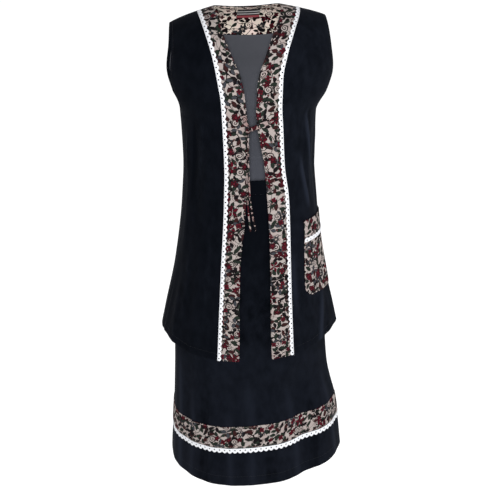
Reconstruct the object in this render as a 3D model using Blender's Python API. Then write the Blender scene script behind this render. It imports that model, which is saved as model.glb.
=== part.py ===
"""Sarafan-style set: a long open vest over a long skirt, worn and hollow.

Metres, +Z up, the front towards -Y and the wearer's left towards +X. The origin is midway between
the two neck points, where the shoulder seams rest on the wearer. Each piece is a closed cloth wall.
A panel is a grid of rows (hem upwards) and columns (round the body). Angles run round the body from
the wearer's left side (0) over the front (90) and the right side (180) to the back (270).
"""

import math

import bmesh
import bpy
import numpy as np

# Cloth walls and the gap between sewn pieces
VELVET_THICK = 0.0018
BAND_THICK = 0.0022
LINING_THICK = 0.0010
FACING_THICK = 0.0012
TRIM_THICK = 0.0012
LACE_THICK = 0.0010
LABEL_THICK = 0.0008
GAP = 0.0003
POCKET_GAP = 0.0009
LACE_GAP = 0.0009
LABEL_GAP = 0.0008

# Form of both garments
ROUNDNESS = 2.25
SHOULDER_RADIUS = 0.110
BACK_SHOULDER_RADIUS = 0.075
LEAST_DEPTH = 0.02

# Vest sections at the outer face of the cloth
# height, half width, front depth, back depth, sideways lean
VEST_SECTIONS = (
    (0.000, 0.206, 0.122, 0.106, 0.0010),
    (-0.120, 0.213, 0.126, 0.114, 0.0035),
    (-0.190, 0.197, 0.128, 0.118, 0.0030),
    (-0.250, 0.1680, 0.128, 0.120, -0.0005),
    (-0.360, 0.1655, 0.130, 0.122, -0.0005),
    (-0.470, 0.1735, 0.133, 0.126, 0.0000),
    (-0.640, 0.1955, 0.142, 0.136, -0.0032),
    (-0.780, 0.2265, 0.150, 0.146, -0.0055),
    (-0.930, 0.2600, 0.160, 0.156, -0.0070),
)

# Skirt sections at the outer face of the cloth, same columns
SKIRT_SECTIONS = (
    (-0.640, 0.1825, 0.130, 0.122, -0.0030),
    (-0.803, 0.2040, 0.132, 0.130, -0.0040),
    (-0.968, 0.2140, 0.142, 0.140, -0.0020),
    (-1.100, 0.2325, 0.174, 0.168, 0.0075),
    (-1.250, 0.2470, 0.213, 0.200, 0.0090),
)

# The skirt's waist at two heights: its front rests against the inside of the vest's bands
# height, half width, back depth
WAIST_SEATS = (
    (-0.390, 0.1575, 0.106),
    (-0.440, 0.1630, 0.111),
)
WAIST_SEAT = 0.0004

# Vest heights
ARMPIT_HEIGHT = -0.250
VEST_HEM_FRONT = -0.883
VEST_HEM_SIDE_RISE = 0.046
SHOULDER_TIP_RIGHT = -0.0350
SHOULDER_TIP_LEFT = -0.0275
NECK_HALF_WIDTH = 0.078
BACK_NECK_DROP = 0.0095
# How much lower the back hangs below its shoulders on the wearer's left than on the right
BACK_SKEW = 0.011
# Share of the way from neck point to shoulder tip at which the band's seam meets the shoulder
SEAM_SHARE = 0.35

# Front edge of the vest: distance of the band's free edge and of its seam from the centre front
# height, wearer's right free edge, right seam, wearer's left free edge, left seam
FRONT_EDGES = (
    (0.000, 0.0800, 0.1190, 0.0765, 0.1250),
    (-0.050, 0.0700, 0.1066, 0.0435, 0.0910),
    (-0.100, 0.0535, 0.0950, 0.0200, 0.0680),
    (-0.150, 0.0345, 0.0860, 0.0033, 0.0572),
    (-0.200, 0.0265, 0.0780, -0.0010, 0.0560),
    (-0.250, 0.0190, 0.0728, 0.0025, 0.0610),
    (-0.363, 0.0180, 0.0708, 0.0208, 0.0665),
    (-0.440, 0.0250, 0.0740, 0.0260, 0.0765),
    (-0.506, 0.0300, 0.0775, 0.0298, 0.0800),
    (-0.620, 0.0410, 0.0840, 0.0350, 0.0850),
    (-0.850, 0.0450, 0.0970, 0.0395, 0.0950),
    (-0.930, 0.0490, 0.1020, 0.0440, 0.0990),
)

# Armhole edge: height and distance from the centre, on the front and on the back
ARMHOLE = (
    (-0.035, 0.1855, 0.1855),
    (-0.090, 0.1890, 0.1900),
    (-0.150, 0.1950, 0.1985),
    (-0.200, 0.1810, 0.1870),
    (-0.230, 0.1710, 0.1740),
)
ARMPIT_CURVE = 0.045

# Soft folds that hang in the vest, round the body and down it
# angle, half width in degrees, top height, bottom height, drift in degrees, rise of the cloth
VEST_FOLDS = (
    (38.0, 5.0, -0.200, -0.520, 2.0, 0.0040),
    (24.0, 4.5, -0.230, -0.560, -3.0, -0.0025),
    (55.0, 5.0, -0.300, -0.700, 3.0, -0.0022),
    (17.0, 5.0, -0.560, -0.930, -2.0, 0.0045),
    (40.0, 6.0, -0.620, -0.930, 3.0, -0.0030),
    (142.0, 5.5, -0.230, -0.560, 3.0, -0.0036),
    (156.0, 5.0, -0.260, -0.640, 4.0, 0.0028),
    (134.0, 5.0, -0.520, -0.930, -2.0, 0.0028),
    (163.0, 6.0, -0.600, -0.930, 1.0, -0.0032),
    (226.0, 7.0, -0.240, -0.660, -4.0, -0.0036),
    (208.0, 6.0, -0.480, -0.930, 2.0, 0.0040),
    (252.0, 8.0, -0.380, -0.930, -2.0, 0.0036),
    (288.0, 8.0, -0.300, -0.930, 4.0, 0.0040),
    (271.0, 6.0, -0.520, -0.930, 1.0, -0.0032),
    (312.0, 7.0, -0.240, -0.700, 3.0, -0.0036),
    (332.0, 6.0, -0.520, -0.930, -2.0, 0.0036),
)

# Soft folds that hang in the skirt, same columns
SKIRT_FOLDS = (
    (20.0, 6.0, -0.640, -1.243, -3.0, 0.0040),
    (43.0, 7.0, -0.780, -1.243, 3.0, -0.0036),
    (63.0, 13.0, -0.900, -1.243, 0.0, -0.0170),
    (68.0, 8.0, -0.860, -1.243, 2.0, 0.0030),
    (97.0, 8.0, -0.900, -1.243, -2.0, -0.0028),
    (121.0, 7.0, -0.820, -1.243, 3.0, 0.0032),
    (147.0, 7.0, -0.700, -1.243, 2.0, -0.0036),
    (168.0, 6.0, -0.740, -1.243, -1.0, 0.0030),
    (205.0, 7.0, -0.620, -1.243, 3.0, 0.0046),
    (231.0, 7.0, -0.700, -1.243, -3.0, -0.0042),
    (258.0, 8.0, -0.560, -1.243, 2.0, 0.0044),
    (283.0, 8.0, -0.640, -1.243, 3.0, -0.0040),
    (306.0, 7.0, -0.720, -1.243, -2.0, 0.0040),
    (334.0, 7.0, -0.660, -1.243, 2.0, -0.0040),
)
FOLD_FADE = 0.110

# Skirt heights
SKIRT_HEM = -1.2465
SKIRT_HEM_TILT = 0.0055
SKIRT_TOP = -0.392
WAIST_BACK_DIP = 0.015
WAISTBAND_HEIGHT = 0.036
SKIRT_BAND_TOP = -1.0795
SKIRT_BAND_BOTTOM = -1.139
SKIRT_BAND_TILT = 0.0070
SKIRT_LINING_RISE = 0.030
SKIRT_LINING_TOP = 1.94

# Lace edging
LACE_PITCH = 0.0142
LACE_WIDTH = 0.0100
LACE_SCALLOP = 0.0026
SKIRT_LACE_WIDTH = 0.0125
SKIRT_LACE_SCALLOP = 0.0032

# Patch pocket on the wearer's left side, from its own edges
POCKET_WIDTH = 0.122
POCKET_HEIGHT = 0.208
POCKET_TOP = -0.514
POCKET_INNER_TOP = 0.1235
POCKET_INNER_BOTTOM = 0.1310
POCKET_CORNER = 0.032
POCKET_LACE_DROP = 0.046
POCKET_LACE_WIDTH = 0.0110
POCKET_LACE_INSET = 0.0005

# Neck facing, back lining and label, inside the back
FACING_ROWS = 5
FACING_COLUMNS = 5
LINING_HEM_RISE = 0.026
LABEL_WIDTH = 0.056
LABEL_HEIGHT = 0.040
LABEL_DROP = 0.016
LABEL_SHIFT = 0.0145

# Ties: strips of the band's print, sewn on at the bands and tied over the right band's free edge
STRAP_WIDTH = 0.011
TIE_END_WIDTH = 0.007
TIE_THICK = 0.0016
KNOT_HALF = (0.0070, 0.0040, 0.0055)
KNOT_PLACE = (-0.0187, -0.2640)

# Tie routes on the front: distance from the centre, height, and how far off the cloth the strip lies
STRAP_LEFT = (
    (0.0515, -0.2465, 0.0012),
    (0.0350, -0.2490, 0.0012),
    (0.0180, -0.2535, 0.0014),
    (0.0030, -0.2590, 0.0022),
    (-0.0112, -0.2630, 0.0034),
)
STRAP_RIGHT = (
    (-0.0330, -0.2120, 0.0012),
    (-0.0290, -0.2280, 0.0012),
    (-0.0235, -0.2460, 0.0014),
    (-0.0205, -0.2575, 0.0024),
)
TIE_END_LONG = (
    (-0.0205, -0.2704, 0.0022),
    (-0.0222, -0.2900, 0.0014),
    (-0.0222, -0.3300, 0.0012),
    (-0.0220, -0.3880, 0.0014),
    (-0.0222, -0.4350, 0.0016),
    (-0.0205, -0.4750, 0.0022),
    (-0.0160, -0.5200, 0.0030),
)
TIE_END_SHORT = (
    (-0.0165, -0.2704, 0.0052),
    (-0.0185, -0.2950, 0.0042),
    (-0.0185, -0.3400, 0.0038),
    (-0.0180, -0.3900, 0.0040),
    (-0.0160, -0.4400, 0.0044),
    (-0.0110, -0.4800, 0.0052),
    (-0.0030, -0.5170, 0.0062),
)

# Rows above the armpit, as shares of the way down from the shoulder line
UPPER_SHARES = (0.955, 0.880, 0.780, 0.620, 0.465, 0.326, 0.213, 0.120, 0.054, 0.014, 0.0)
UPPER_ROWS = len(UPPER_SHARES)

# Grid sizes
LOWER_ROWS = 15
BAND_COLUMNS = 3
FRONT_COLUMNS = 10
BACK_NECK_COLUMNS = 3
BACK_SIDE_COLUMNS = 6
SKIRT_ROWS = 14
SKIRT_COLUMNS = 20
POCKET_ROWS = 5
POCKET_COLUMNS = 12
CORNER_TURN = (22.0, 44.0, 66.0, 86.0)
ROUTE_STEPS = 3
LACE_LINE_STEPS = 6
RING_STEPS = 60
PAST_SIDE = -0.1

# Colours: red, green, blue, then roughness
VELVET_COLOUR = (0.008, 0.010, 0.016, 0.90)
PRINT_COLOUR = (0.30, 0.20, 0.17, 0.80)
LACE_COLOUR = (0.86, 0.86, 0.88, 0.75)
LINING_COLOUR = (0.075, 0.077, 0.092, 0.70)
LABEL_COLOUR = (0.030, 0.028, 0.030, 0.75)


def clear_scene():
    for old in list(bpy.data.objects):
        bpy.data.objects.remove(old, do_unlink=True)


def material(name, colour):
    found = bpy.data.materials.get(name) or bpy.data.materials.new(name)
    found.use_nodes = True
    shader = found.node_tree.nodes["Principled BSDF"]
    shader.inputs["Base Color"].default_value = (*colour[:3], 1.0)
    shader.inputs["Roughness"].default_value = colour[3]
    shader.inputs["Metallic"].default_value = 0.0
    return found


def column(table, index, height):
    """One column of a table at any height, on a smooth curve that keeps between its rows."""
    rows = sorted(table)
    at = np.array([row[0] for row in rows])
    value = np.array([row[index] for row in rows])
    step = np.diff(at)
    rate = np.diff(value) / step
    slope = np.zeros(len(at))
    slope[0], slope[-1] = rate[0], rate[-1]
    turning = rate[:-1] * rate[1:] <= 0
    before = 2 * step[1:] + step[:-1]
    after = step[1:] + 2 * step[:-1]
    safe = np.where(turning, 1.0, rate[:-1])
    safe_next = np.where(turning, 1.0, rate[1:])
    middle = (before + after) / (before / safe + after / safe_next)
    slope[1:-1] = np.where(turning, 0.0, middle)
    height = np.clip(np.asarray(height, float), at[0], at[-1])
    k = np.clip(np.searchsorted(at, height) - 1, 0, len(step) - 1)
    t = (height - at[k]) / step[k]
    start = value[k] * (1 + 2 * t) * (1 - t) ** 2 + slope[k] * step[k] * t * (1 - t) ** 2
    end = value[k + 1] * t * t * (3 - 2 * t) + slope[k + 1] * step[k] * t * t * (t - 1)
    return start + end


def folds(table, angle, height):
    """How far the cloth stands out at an angle and height because of the hanging folds."""
    total = np.zeros(np.broadcast(angle, height).shape)
    for middle, half_width, top, bottom, drift, rise in table:
        down = np.clip((top - height) / (top - bottom), 0.0, 1.0)
        fade = np.clip((top - height) / FOLD_FADE, 0.0, 1.0)
        fade = fade * fade * (3 - 2 * fade)
        if bottom > min(row[0] for row in VEST_SECTIONS):
            tail = np.clip((height - bottom) / FOLD_FADE, 0.0, 1.0)
            fade = fade * tail * tail * (3 - 2 * tail)
        away = (angle - middle - drift * down) / half_width
        total = total + rise * fade * np.exp(-away * away)
    return total


def body_point(sections, fold_table, angle, height, drop):
    """A point of the cloth's outer face; drop is the way down from the shoulder line."""
    half_width = column(sections, 1, height)
    turn = np.radians(angle)
    across, deep = np.cos(turn), np.sin(turn)
    front = column(sections, 2, height)
    back = column(sections, 3, height)
    power = 2.0 / ROUNDNESS
    radius = np.where(deep > 0, SHOULDER_RADIUS, BACK_SHOULDER_RADIUS)
    over = 1.0 - np.clip(drop, 0.0, radius) / radius
    rolled = np.sqrt(1.0 - over * over)
    depth = np.where(deep > 0, front, back) * rolled
    x = half_width * np.sign(across) * np.abs(across) ** power
    y = -depth * np.sign(deep) * np.abs(deep) ** power
    out_x, out_y = across / half_width, -deep / np.maximum(depth, LEAST_DEPTH)
    length = np.hypot(out_x, out_y)
    stand = folds(fold_table, angle, height)
    x = x + column(sections, 4, height) + stand * out_x / length
    y = y + stand * out_y / length
    return np.stack([x, y, height + 0.0 * x], axis=-1)


def angle_at(sections, x, height):
    """The angle on the wearer's left front whose point lies x from the centre."""
    share = np.clip(x / column(sections, 1, height), 0.0, 1.0)
    return np.degrees(np.arccos(share ** (ROUNDNESS / 2.0)))


class Panel:
    """A grid of points on a garment's outer face, with the outward direction at each."""

    def __init__(self, surface, angle, height, drop):
        small_turn, small_step = 0.02, 0.0001
        self.points = surface(angle, height, drop)
        turned = surface(angle + small_turn, height, drop)
        lowered = surface(angle, height - small_step, drop + small_step)
        out = np.cross(turned - self.points, self.points - lowered)
        self.out = -out / np.linalg.norm(out, axis=-1, keepdims=True)
        self.angle, self.height = angle, height

    def sample(self, rows, columns):
        """Points and directions at fractional rows and columns, on the triangles that wall makes."""
        count_i, count_j = self.points.shape[0] - 1, self.points.shape[1] - 1
        i = np.clip(np.floor(rows).astype(int), 0, count_i - 1)
        j = np.clip(np.floor(columns).astype(int), 0, count_j - 1)
        u, v = (rows - i)[..., None], (columns - j)[..., None]
        found = []
        for grid in (self.points, self.out):
            a, b, c, d = grid[i, j], grid[i, j + 1], grid[i + 1, j + 1], grid[i + 1, j]
            found.append(np.where(v >= u, a + v * (b - a) + u * (c - b), a + u * (d - a) + v * (c - d)))
        return found[0], found[1] / np.linalg.norm(found[1], axis=-1, keepdims=True)


def vest_surface(angle, height, drop):
    return body_point(VEST_SECTIONS, VEST_FOLDS, angle, height, drop)


def waist_rows():
    """The skirt's sections at the waist, whose front depth leaves it just inside the vest's bands."""
    rows = []
    for height, half_width, back in WAIST_SEATS:
        front = float(column(VEST_SECTIONS, 2, height)) - BAND_THICK - WAIST_SEAT
        rows.append((height, half_width, front, back, 0.0))
    return tuple(rows)


def skirt_surface(angle, height, drop):
    return body_point(waist_rows() + SKIRT_SECTIONS, SKIRT_FOLDS, angle, height, drop)


def upper_drop(row, from_line):
    """Way down from the shoulder line at a row above the armpit."""
    return from_line * UPPER_SHARES[row - 1]


def armhole_angle(index, height):
    """Angle of the armhole's edge from the side, front or back, rounded off into the armpit."""
    above = np.maximum(height, ARMPIT_HEIGHT + ARMPIT_CURVE)
    angle = angle_at(VEST_SECTIONS, column(ARMHOLE, index, above), above)
    share = np.clip((height - ARMPIT_HEIGHT) / ARMPIT_CURVE, 0.0, 1.0)
    return angle * np.sqrt(1.0 - (1.0 - share) ** 2)


def vest_hem_height(angle):
    return VEST_HEM_FRONT + VEST_HEM_SIDE_RISE * np.cos(np.radians(angle)) ** 2


def front_row(row, side):
    """Angles, heights and drops along one row of a half front, from the free edge to the side."""
    upper = max(row - LOWER_ROWS, 0)
    tip = SHOULDER_TIP_RIGHT if side == "right" else SHOULDER_TIP_LEFT
    edge_column, seam_column = (1, 2) if side == "right" else (3, 4)
    if upper:
        inner_drop = upper_drop(upper, -ARMPIT_HEIGHT)
        outer_drop = upper_drop(upper, tip - ARMPIT_HEIGHT)
        inner, outer = -inner_drop, tip - outer_drop
        outer_angle = armhole_angle(1, outer)
    else:
        inner_drop = outer_drop = SHOULDER_RADIUS
        share = row / LOWER_ROWS
        inner = VEST_HEM_FRONT + (ARMPIT_HEIGHT - VEST_HEM_FRONT) * share
        outer = inner
        outer_angle = 0.0
    edge = angle_at(VEST_SECTIONS, column(FRONT_EDGES, edge_column, inner), inner)
    seam_height = inner + (outer - inner) * SEAM_SHARE * min(upper, 1)
    seam = angle_at(VEST_SECTIONS, column(FRONT_EDGES, seam_column, seam_height), seam_height)
    band = np.linspace(edge, seam, BAND_COLUMNS + 1)
    cloth = np.linspace(seam, outer_angle, FRONT_COLUMNS + 1)[1:]
    angle = np.concatenate([band, cloth])
    share_out = (edge - angle) / (edge - outer_angle)
    if upper:
        height = inner + (outer - inner) * share_out
        drop = inner_drop + (outer_drop - inner_drop) * share_out
    else:
        hem = vest_hem_height(angle)
        height = hem + (ARMPIT_HEIGHT - hem) * row / LOWER_ROWS
        drop = np.full(len(angle), SHOULDER_RADIUS)
    if side == "right":
        angle = 180.0 - angle
    return angle, height, drop


def front_panel(side):
    rows = [front_row(row, side) for row in range(LOWER_ROWS + UPPER_ROWS + 1)]
    angle, height, drop = (np.array([row[k] for row in rows]) for k in range(3))
    return Panel(vest_surface, angle, height, drop)


def back_panel():
    """The vest's back, from the wearer's right armhole to the left one, columns on the neck points."""
    top_edge = angle_at(VEST_SECTIONS, ARMHOLE[0][2], ARMHOLE[0][0])
    neck = angle_at(VEST_SECTIONS, NECK_HALF_WIDTH, 0.0)
    neck_share = (90.0 - neck) / (90.0 - top_edge)
    half = np.concatenate([
        np.linspace(0.0, neck_share, BACK_NECK_COLUMNS + 1),
        np.linspace(neck_share, 1.0, BACK_SIDE_COLUMNS + 1)[1:],
    ])
    share = np.concatenate([-half[:0:-1], half])
    beyond = np.clip((np.abs(share) - neck_share) / (1.0 - neck_share), 0.0, 1.0)
    inside = np.clip(np.abs(share) / neck_share, 0.0, 1.0)
    line = np.where(share < 0, SHOULDER_TIP_RIGHT, SHOULDER_TIP_LEFT) * beyond
    neck_drop = BACK_NECK_DROP * (1.0 - inside ** 2)
    rows = []
    for row in range(LOWER_ROWS + UPPER_ROWS + 1):
        upper = row - LOWER_ROWS
        if upper > 0:
            way = line - neck_drop - ARMPIT_HEIGHT
            share_down = upper_drop(upper, 1.0)
            skew = 4.0 * share_down * (1.0 - share_down)
            drop = neck_drop + share_down * way + BACK_SKEW * skew * share
            height = line - drop
            angle = 270.0 + share * (90.0 - armhole_angle(2, height[0]))
        else:
            angle = 270.0 + share * 90.0
            hem = vest_hem_height(angle)
            height = hem + (ARMPIT_HEIGHT - hem) * row / LOWER_ROWS
            drop = np.full(len(share), SHOULDER_RADIUS)
        rows.append((angle, height, drop))
    angle, height, drop = (np.array([row[k] for row in rows]) for k in range(3))
    return Panel(vest_surface, angle, height, drop)


def skirt_panel(start, end):
    """Half of the skirt with its waistband, whose two rows are the last."""
    angle = np.linspace(start, end, SKIRT_COLUMNS + 1)
    across, deep = np.cos(np.radians(angle)), np.sin(np.radians(angle))
    hem = SKIRT_HEM + SKIRT_HEM_TILT * across
    seam = SKIRT_TOP - WAISTBAND_HEIGHT - WAIST_BACK_DIP * (0.5 - 0.5 * deep)
    share = np.linspace(0.0, 1.0, SKIRT_ROWS + 1)[:, None]
    height = np.concatenate([
        hem + (seam - hem) * share,
        [seam + WAISTBAND_HEIGHT / 2, seam + WAISTBAND_HEIGHT],
    ])
    angle = np.tile(angle, (len(height), 1))
    return Panel(skirt_surface, angle, height, np.full(angle.shape, SHOULDER_RADIUS))


def add_object(name, points, faces, made_of):
    mesh = bpy.data.meshes.new(name)
    mesh.from_pydata([tuple(p) for p in points], [], faces)
    work = bmesh.new()
    work.from_mesh(mesh)
    bmesh.ops.recalc_face_normals(work, faces=work.faces)
    if work.calc_volume(signed=True) < 0:
        bmesh.ops.reverse_faces(work, faces=work.faces)
    work.to_mesh(mesh)
    work.free()
    mesh.shade_smooth()
    mesh.set_sharp_from_angle(angle=math.radians(40))
    built = bpy.data.objects.new(name, mesh)
    bpy.context.collection.objects.link(built)
    built.data.materials.append(made_of)
    return built


def wall(name, points, out, outer, thick, made_of, shift_y=0.0):
    """A closed wall on a grid: its outer face is moved out by outer, its inner face lies thick below."""
    rows, columns = points.shape[:2]
    shift = np.array([0.0, shift_y, 0.0])
    faces_out = points + out * outer + shift
    faces_in = points + out * (outer - thick) + shift
    flat = np.concatenate([faces_out.reshape(-1, 3), faces_in.reshape(-1, 3)])
    under = rows * columns
    faces = []
    for i in range(rows - 1):
        for j in range(columns - 1):
            a, b = i * columns + j, i * columns + j + 1
            c, d = a + columns + 1, a + columns
            for p, q, r in ((a, b, c), (a, c, d)):
                faces.append((p, q, r))
                faces.append((under + r, under + q, under + p))
    rim = [j for j in range(columns)]
    rim += [i * columns + columns - 1 for i in range(1, rows)]
    rim += [(rows - 1) * columns + j for j in range(columns - 2, -1, -1)]
    rim += [i * columns for i in range(rows - 2, 0, -1)]
    for k, a in enumerate(rim):
        b = rim[(k + 1) % len(rim)]
        faces.append((b, a, under + a))
        faces.append((b, under + a, under + b))
    return add_object(name, flat, faces, made_of)


def grid_lines(start, end):
    """Both ends and a grid's whole rows or columns between them."""
    whole = np.arange(math.ceil(start + 0.05), math.floor(end - 0.05) + 1)
    return np.concatenate([[start], whole, [end]])


def part_of(panel, rows, columns, ends=(0.0, 0.0)):
    """A block of a panel's own grid, its first and last columns moved in by ends along the cloth."""
    points = panel.points[rows, columns].copy()
    out = panel.out[rows, columns].copy()
    for index, inward, move in ((0, 1, ends[0]), (-1, -2, ends[1])):
        if move:
            step = points[:, inward] - points[:, index]
            length = np.linalg.norm(step, axis=-1, keepdims=True)
            points[:, index] = points[:, index] + step / length * move
    return points, out


def vest_front(side, panel, velvet, printed):
    """One front: the velvet panel and the printed band on its free edge, parted at the seam."""
    every = slice(None)
    points, out = part_of(panel, every, slice(BAND_COLUMNS, None), (GAP / 2, 0.0))
    wall(f"vest_front_{side}", points, out, 0.0, VELVET_THICK, velvet, -GAP / 2)
    points, out = part_of(panel, every, slice(0, BAND_COLUMNS + 1), (0.0, GAP / 2))
    wall(f"vest_band_{side}", points, out, 0.0, BAND_THICK, printed, -GAP / 2)


def along(points):
    """Distance along a line of points."""
    return np.concatenate([[0.0], np.cumsum(np.linalg.norm(np.diff(points, axis=0), axis=1))])


def lace_strip(name, panel, line_rows, line_columns, width, scallop, toward, made_of, shift_y):
    """A scalloped strip along a line on a panel: straight on one side, scallops on the other.

    toward is the direction of the scallops, as a step in rows and columns per metre at each point.
    """
    middle, _ = panel.sample(line_rows, line_columns)
    way = along(middle)
    count = 2 * int(round(way[-1] / LACE_PITCH))
    at = np.linspace(0.0, way[-1], count + 1)
    rows = np.interp(at, way, line_rows)
    columns = np.interp(at, way, line_columns)
    step_rows = np.interp(at, way, toward[0])
    step_columns = np.interp(at, way, toward[1])
    reach = width / 2 - scallop * (np.arange(count + 1) % 2 == 0)
    grid_points, grid_out = [], []
    for distance in (np.full(count + 1, -width / 2), reach):
        points, out = panel.sample(rows + step_rows * distance, columns + step_columns * distance)
        grid_points.append(points)
        grid_out.append(out)
    points, out = np.array(grid_points), np.array(grid_out)
    wall(name, points, out, LACE_GAP + LACE_THICK, LACE_THICK, made_of, shift_y)


def vest_lace(side, panel, made_of):
    """Lace on the band's seam, its scallops towards the band."""
    top = LOWER_ROWS + UPPER_ROWS
    rows = np.linspace(0.0, top, LACE_LINE_STEPS * top + 1)
    seam = np.full(len(rows), float(BAND_COLUMNS))
    here, _ = panel.sample(rows, seam)
    inward, _ = panel.sample(rows, seam - 1.0)
    per_metre = -1.0 / np.linalg.norm(inward - here, axis=-1)
    lace_strip(f"vest_lace_{side}", panel, rows, seam, LACE_WIDTH, LACE_SCALLOP,
               (np.zeros(len(rows)), per_metre), made_of, -GAP / 2)


def back_pieces(panel, velvet, printed, grey, label_cloth):
    """The vest's back, its lining, the neck facing inside it and the label on the facing."""
    wall("vest_back", panel.points, panel.out, 0.0, VELVET_THICK, velvet, GAP / 2)
    middle = BACK_NECK_COLUMNS + BACK_SIDE_COLUMNS
    top = LOWER_ROWS + UPPER_ROWS
    rows = np.linspace(0.0, top, 400)
    centre, _ = panel.sample(rows, np.full(400, float(middle)))
    down = along(centre)[-1] - along(centre)

    def inner_piece(name, low, high, half, inside, thick, made_of, shift=0.0):
        """A wall inside the back, between two rows and half columns either side of its middle."""
        columns = grid_lines(middle + shift - half, middle + shift + half)
        i, j = np.meshgrid(grid_lines(low, high), columns, indexing="ij")
        points, out = panel.sample(i, j)
        wall(name, points, out, inside, thick, made_of, GAP / 2)

    inside = -(VELVET_THICK + GAP)
    split = top - FACING_ROWS
    under_split, hem, label_low, label_high = np.interp(
        [-np.interp(split, rows, down) - GAP, LINING_HEM_RISE - down[0], -LABEL_DROP - LABEL_HEIGHT,
         -LABEL_DROP], -down, rows)
    inner_piece("vest_back_lining", hem, under_split, middle, inside, LINING_THICK, grey)
    inner_piece("neck_facing", split, top, FACING_COLUMNS, inside, FACING_THICK, printed)
    label_half, label_shift = np.interp([LABEL_WIDTH / 2, LABEL_SHIFT], *half_widths(panel, middle))
    below = inside - FACING_THICK - LABEL_GAP
    inner_piece("neck_label", label_low, label_high, label_half, below, LABEL_THICK, label_cloth,
                label_shift)


def half_widths(panel, middle):
    """Distance from the centre back and column count, along the top row of the back."""
    x = panel.points[-1, middle:, 0]
    return x - x[0], np.arange(len(x), dtype=float)


def place_on_front(panel, angle, height):
    """Fractional rows and columns on the lower left front for an angle and a height."""
    seam = np.array([panel.angle[row, BAND_COLUMNS] for row in range(LOWER_ROWS + 1)])
    hem = vest_hem_height(angle)
    rows = LOWER_ROWS * (height - hem) / (ARMPIT_HEIGHT - hem)
    seam_angle = np.interp(rows, np.arange(LOWER_ROWS + 1), seam)
    columns = BAND_COLUMNS + FRONT_COLUMNS * (seam_angle - angle) / seam_angle
    return rows, columns


def pocket_place(panel, distance, height):
    """Rows and columns on the left front for distances from the pocket's inner edge, at heights."""
    share = np.clip((POCKET_TOP - height) / POCKET_HEIGHT, 0.0, 1.0)
    inner = POCKET_INNER_TOP + (POCKET_INNER_BOTTOM - POCKET_INNER_TOP) * share
    start = angle_at(VEST_SECTIONS, inner, height)
    spread = np.linspace(1.0, PAST_SIDE, RING_STEPS)
    angle = np.zeros(distance.shape)
    for place in np.ndindex(distance.shape):
        ring_angle = start[place] * spread
        ring = vest_surface(ring_angle, np.full(RING_STEPS, height[place]), SHOULDER_RADIUS)
        angle[place] = np.interp(distance[place], along(ring), ring_angle)
    return place_on_front(panel, angle, height)


def pocket_pieces(panel, printed, lace):
    """The patch pocket with rounded lower corners, and the lace across it."""
    across = np.linspace(0.0, 1.0, POCKET_COLUMNS + 1)
    body = np.linspace(0.0, POCKET_HEIGHT - POCKET_CORNER, POCKET_ROWS + 1)
    turn = np.radians(CORNER_TURN)
    down = np.concatenate([body, POCKET_HEIGHT - POCKET_CORNER * (1.0 - np.sin(turn))])
    pull = np.concatenate([np.zeros(len(body)), POCKET_CORNER * (1.0 - np.cos(turn))])
    distance = pull[:, None] + across[None, :] * (POCKET_WIDTH - 2 * pull[:, None])
    height = POCKET_TOP - down[:, None] + 0.0 * distance
    points, out = panel.sample(*pocket_place(panel, distance, height))
    wall("pocket", points, out, POCKET_GAP + TRIM_THICK, TRIM_THICK, printed, -GAP / 2)
    count = 2 * int(round(POCKET_WIDTH / LACE_PITCH))
    distance = np.linspace(POCKET_LACE_INSET, POCKET_WIDTH - POCKET_LACE_INSET, count + 1)
    lower = POCKET_LACE_WIDTH - LACE_SCALLOP * (np.arange(count + 1) % 2 == 0)
    top = POCKET_TOP - POCKET_LACE_DROP
    height = np.array([top - lower, np.full(count + 1, top)])
    points, out = panel.sample(*pocket_place(panel, np.array([distance, distance]), height))
    over = POCKET_GAP + TRIM_THICK + LACE_GAP + LACE_THICK
    wall("pocket_lace", points, out, over, LACE_THICK, lace, -GAP / 2)


def on_front(x, height, off):
    """A point off the vest's front surface, x from the centre, and the outward direction there."""
    angle = angle_at(VEST_SECTIONS, abs(x), height)
    if x < 0:
        angle = 180.0 - angle
    spot = Panel(vest_surface, np.array([angle]), np.array([height]), np.array([-height]))
    return spot.points[0] + spot.out[0] * off + np.array([0.0, -GAP / 2, 0.0]), spot.out[0]


def ribbon(name, route, width, made_of):
    """A flat strip along a smooth curve through its route, lying flat to the cloth."""
    knots = np.arange(len(route), dtype=float)
    table = [[(k, row[n]) for k, row in zip(knots, route)] for n in range(3)]
    at = np.linspace(0.0, knots[-1], ROUTE_STEPS * (len(route) - 1) + 1)
    smooth = [column(rows, 1, at) for rows in table]
    found = [on_front(x, height, off) for x, height, off in zip(*smooth)]
    line = np.array([spot for spot, _ in found])
    face = np.array([out for _, out in found])
    run = np.gradient(line, axis=0)
    run /= np.linalg.norm(run, axis=1, keepdims=True)
    side = np.cross(run, face)
    side /= np.linalg.norm(side, axis=1, keepdims=True)
    face = np.cross(side, run)
    edge = side * width / 2
    points = np.array([line - edge, line + edge])
    wall(name, points, np.array([face, face]), TIE_THICK / 2, TIE_THICK, made_of)


def tie_knot(made_of):
    """The knot, a small rounded lump just off the right band's free edge."""
    centre, _ = on_front(*KNOT_PLACE, GAP + KNOT_HALF[1])
    mesh = bmesh.new()
    bmesh.ops.create_uvsphere(mesh, u_segments=12, v_segments=8, radius=1.0)
    points = [np.array(v.co) * KNOT_HALF + centre for v in mesh.verts]
    mesh.verts.index_update()
    faces = [[v.index for v in face.verts] for face in mesh.faces]
    mesh.free()
    add_object("tie_knot", points, faces, made_of)


def ties(made_of):
    ribbon("tie_strap_left", STRAP_LEFT, STRAP_WIDTH, made_of)
    ribbon("tie_strap_right", STRAP_RIGHT, STRAP_WIDTH, made_of)
    tie_knot(made_of)
    ribbon("tie_end_long", TIE_END_LONG, TIE_END_WIDTH, made_of)
    ribbon("tie_end_short", TIE_END_SHORT, TIE_END_WIDTH, made_of)


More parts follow.
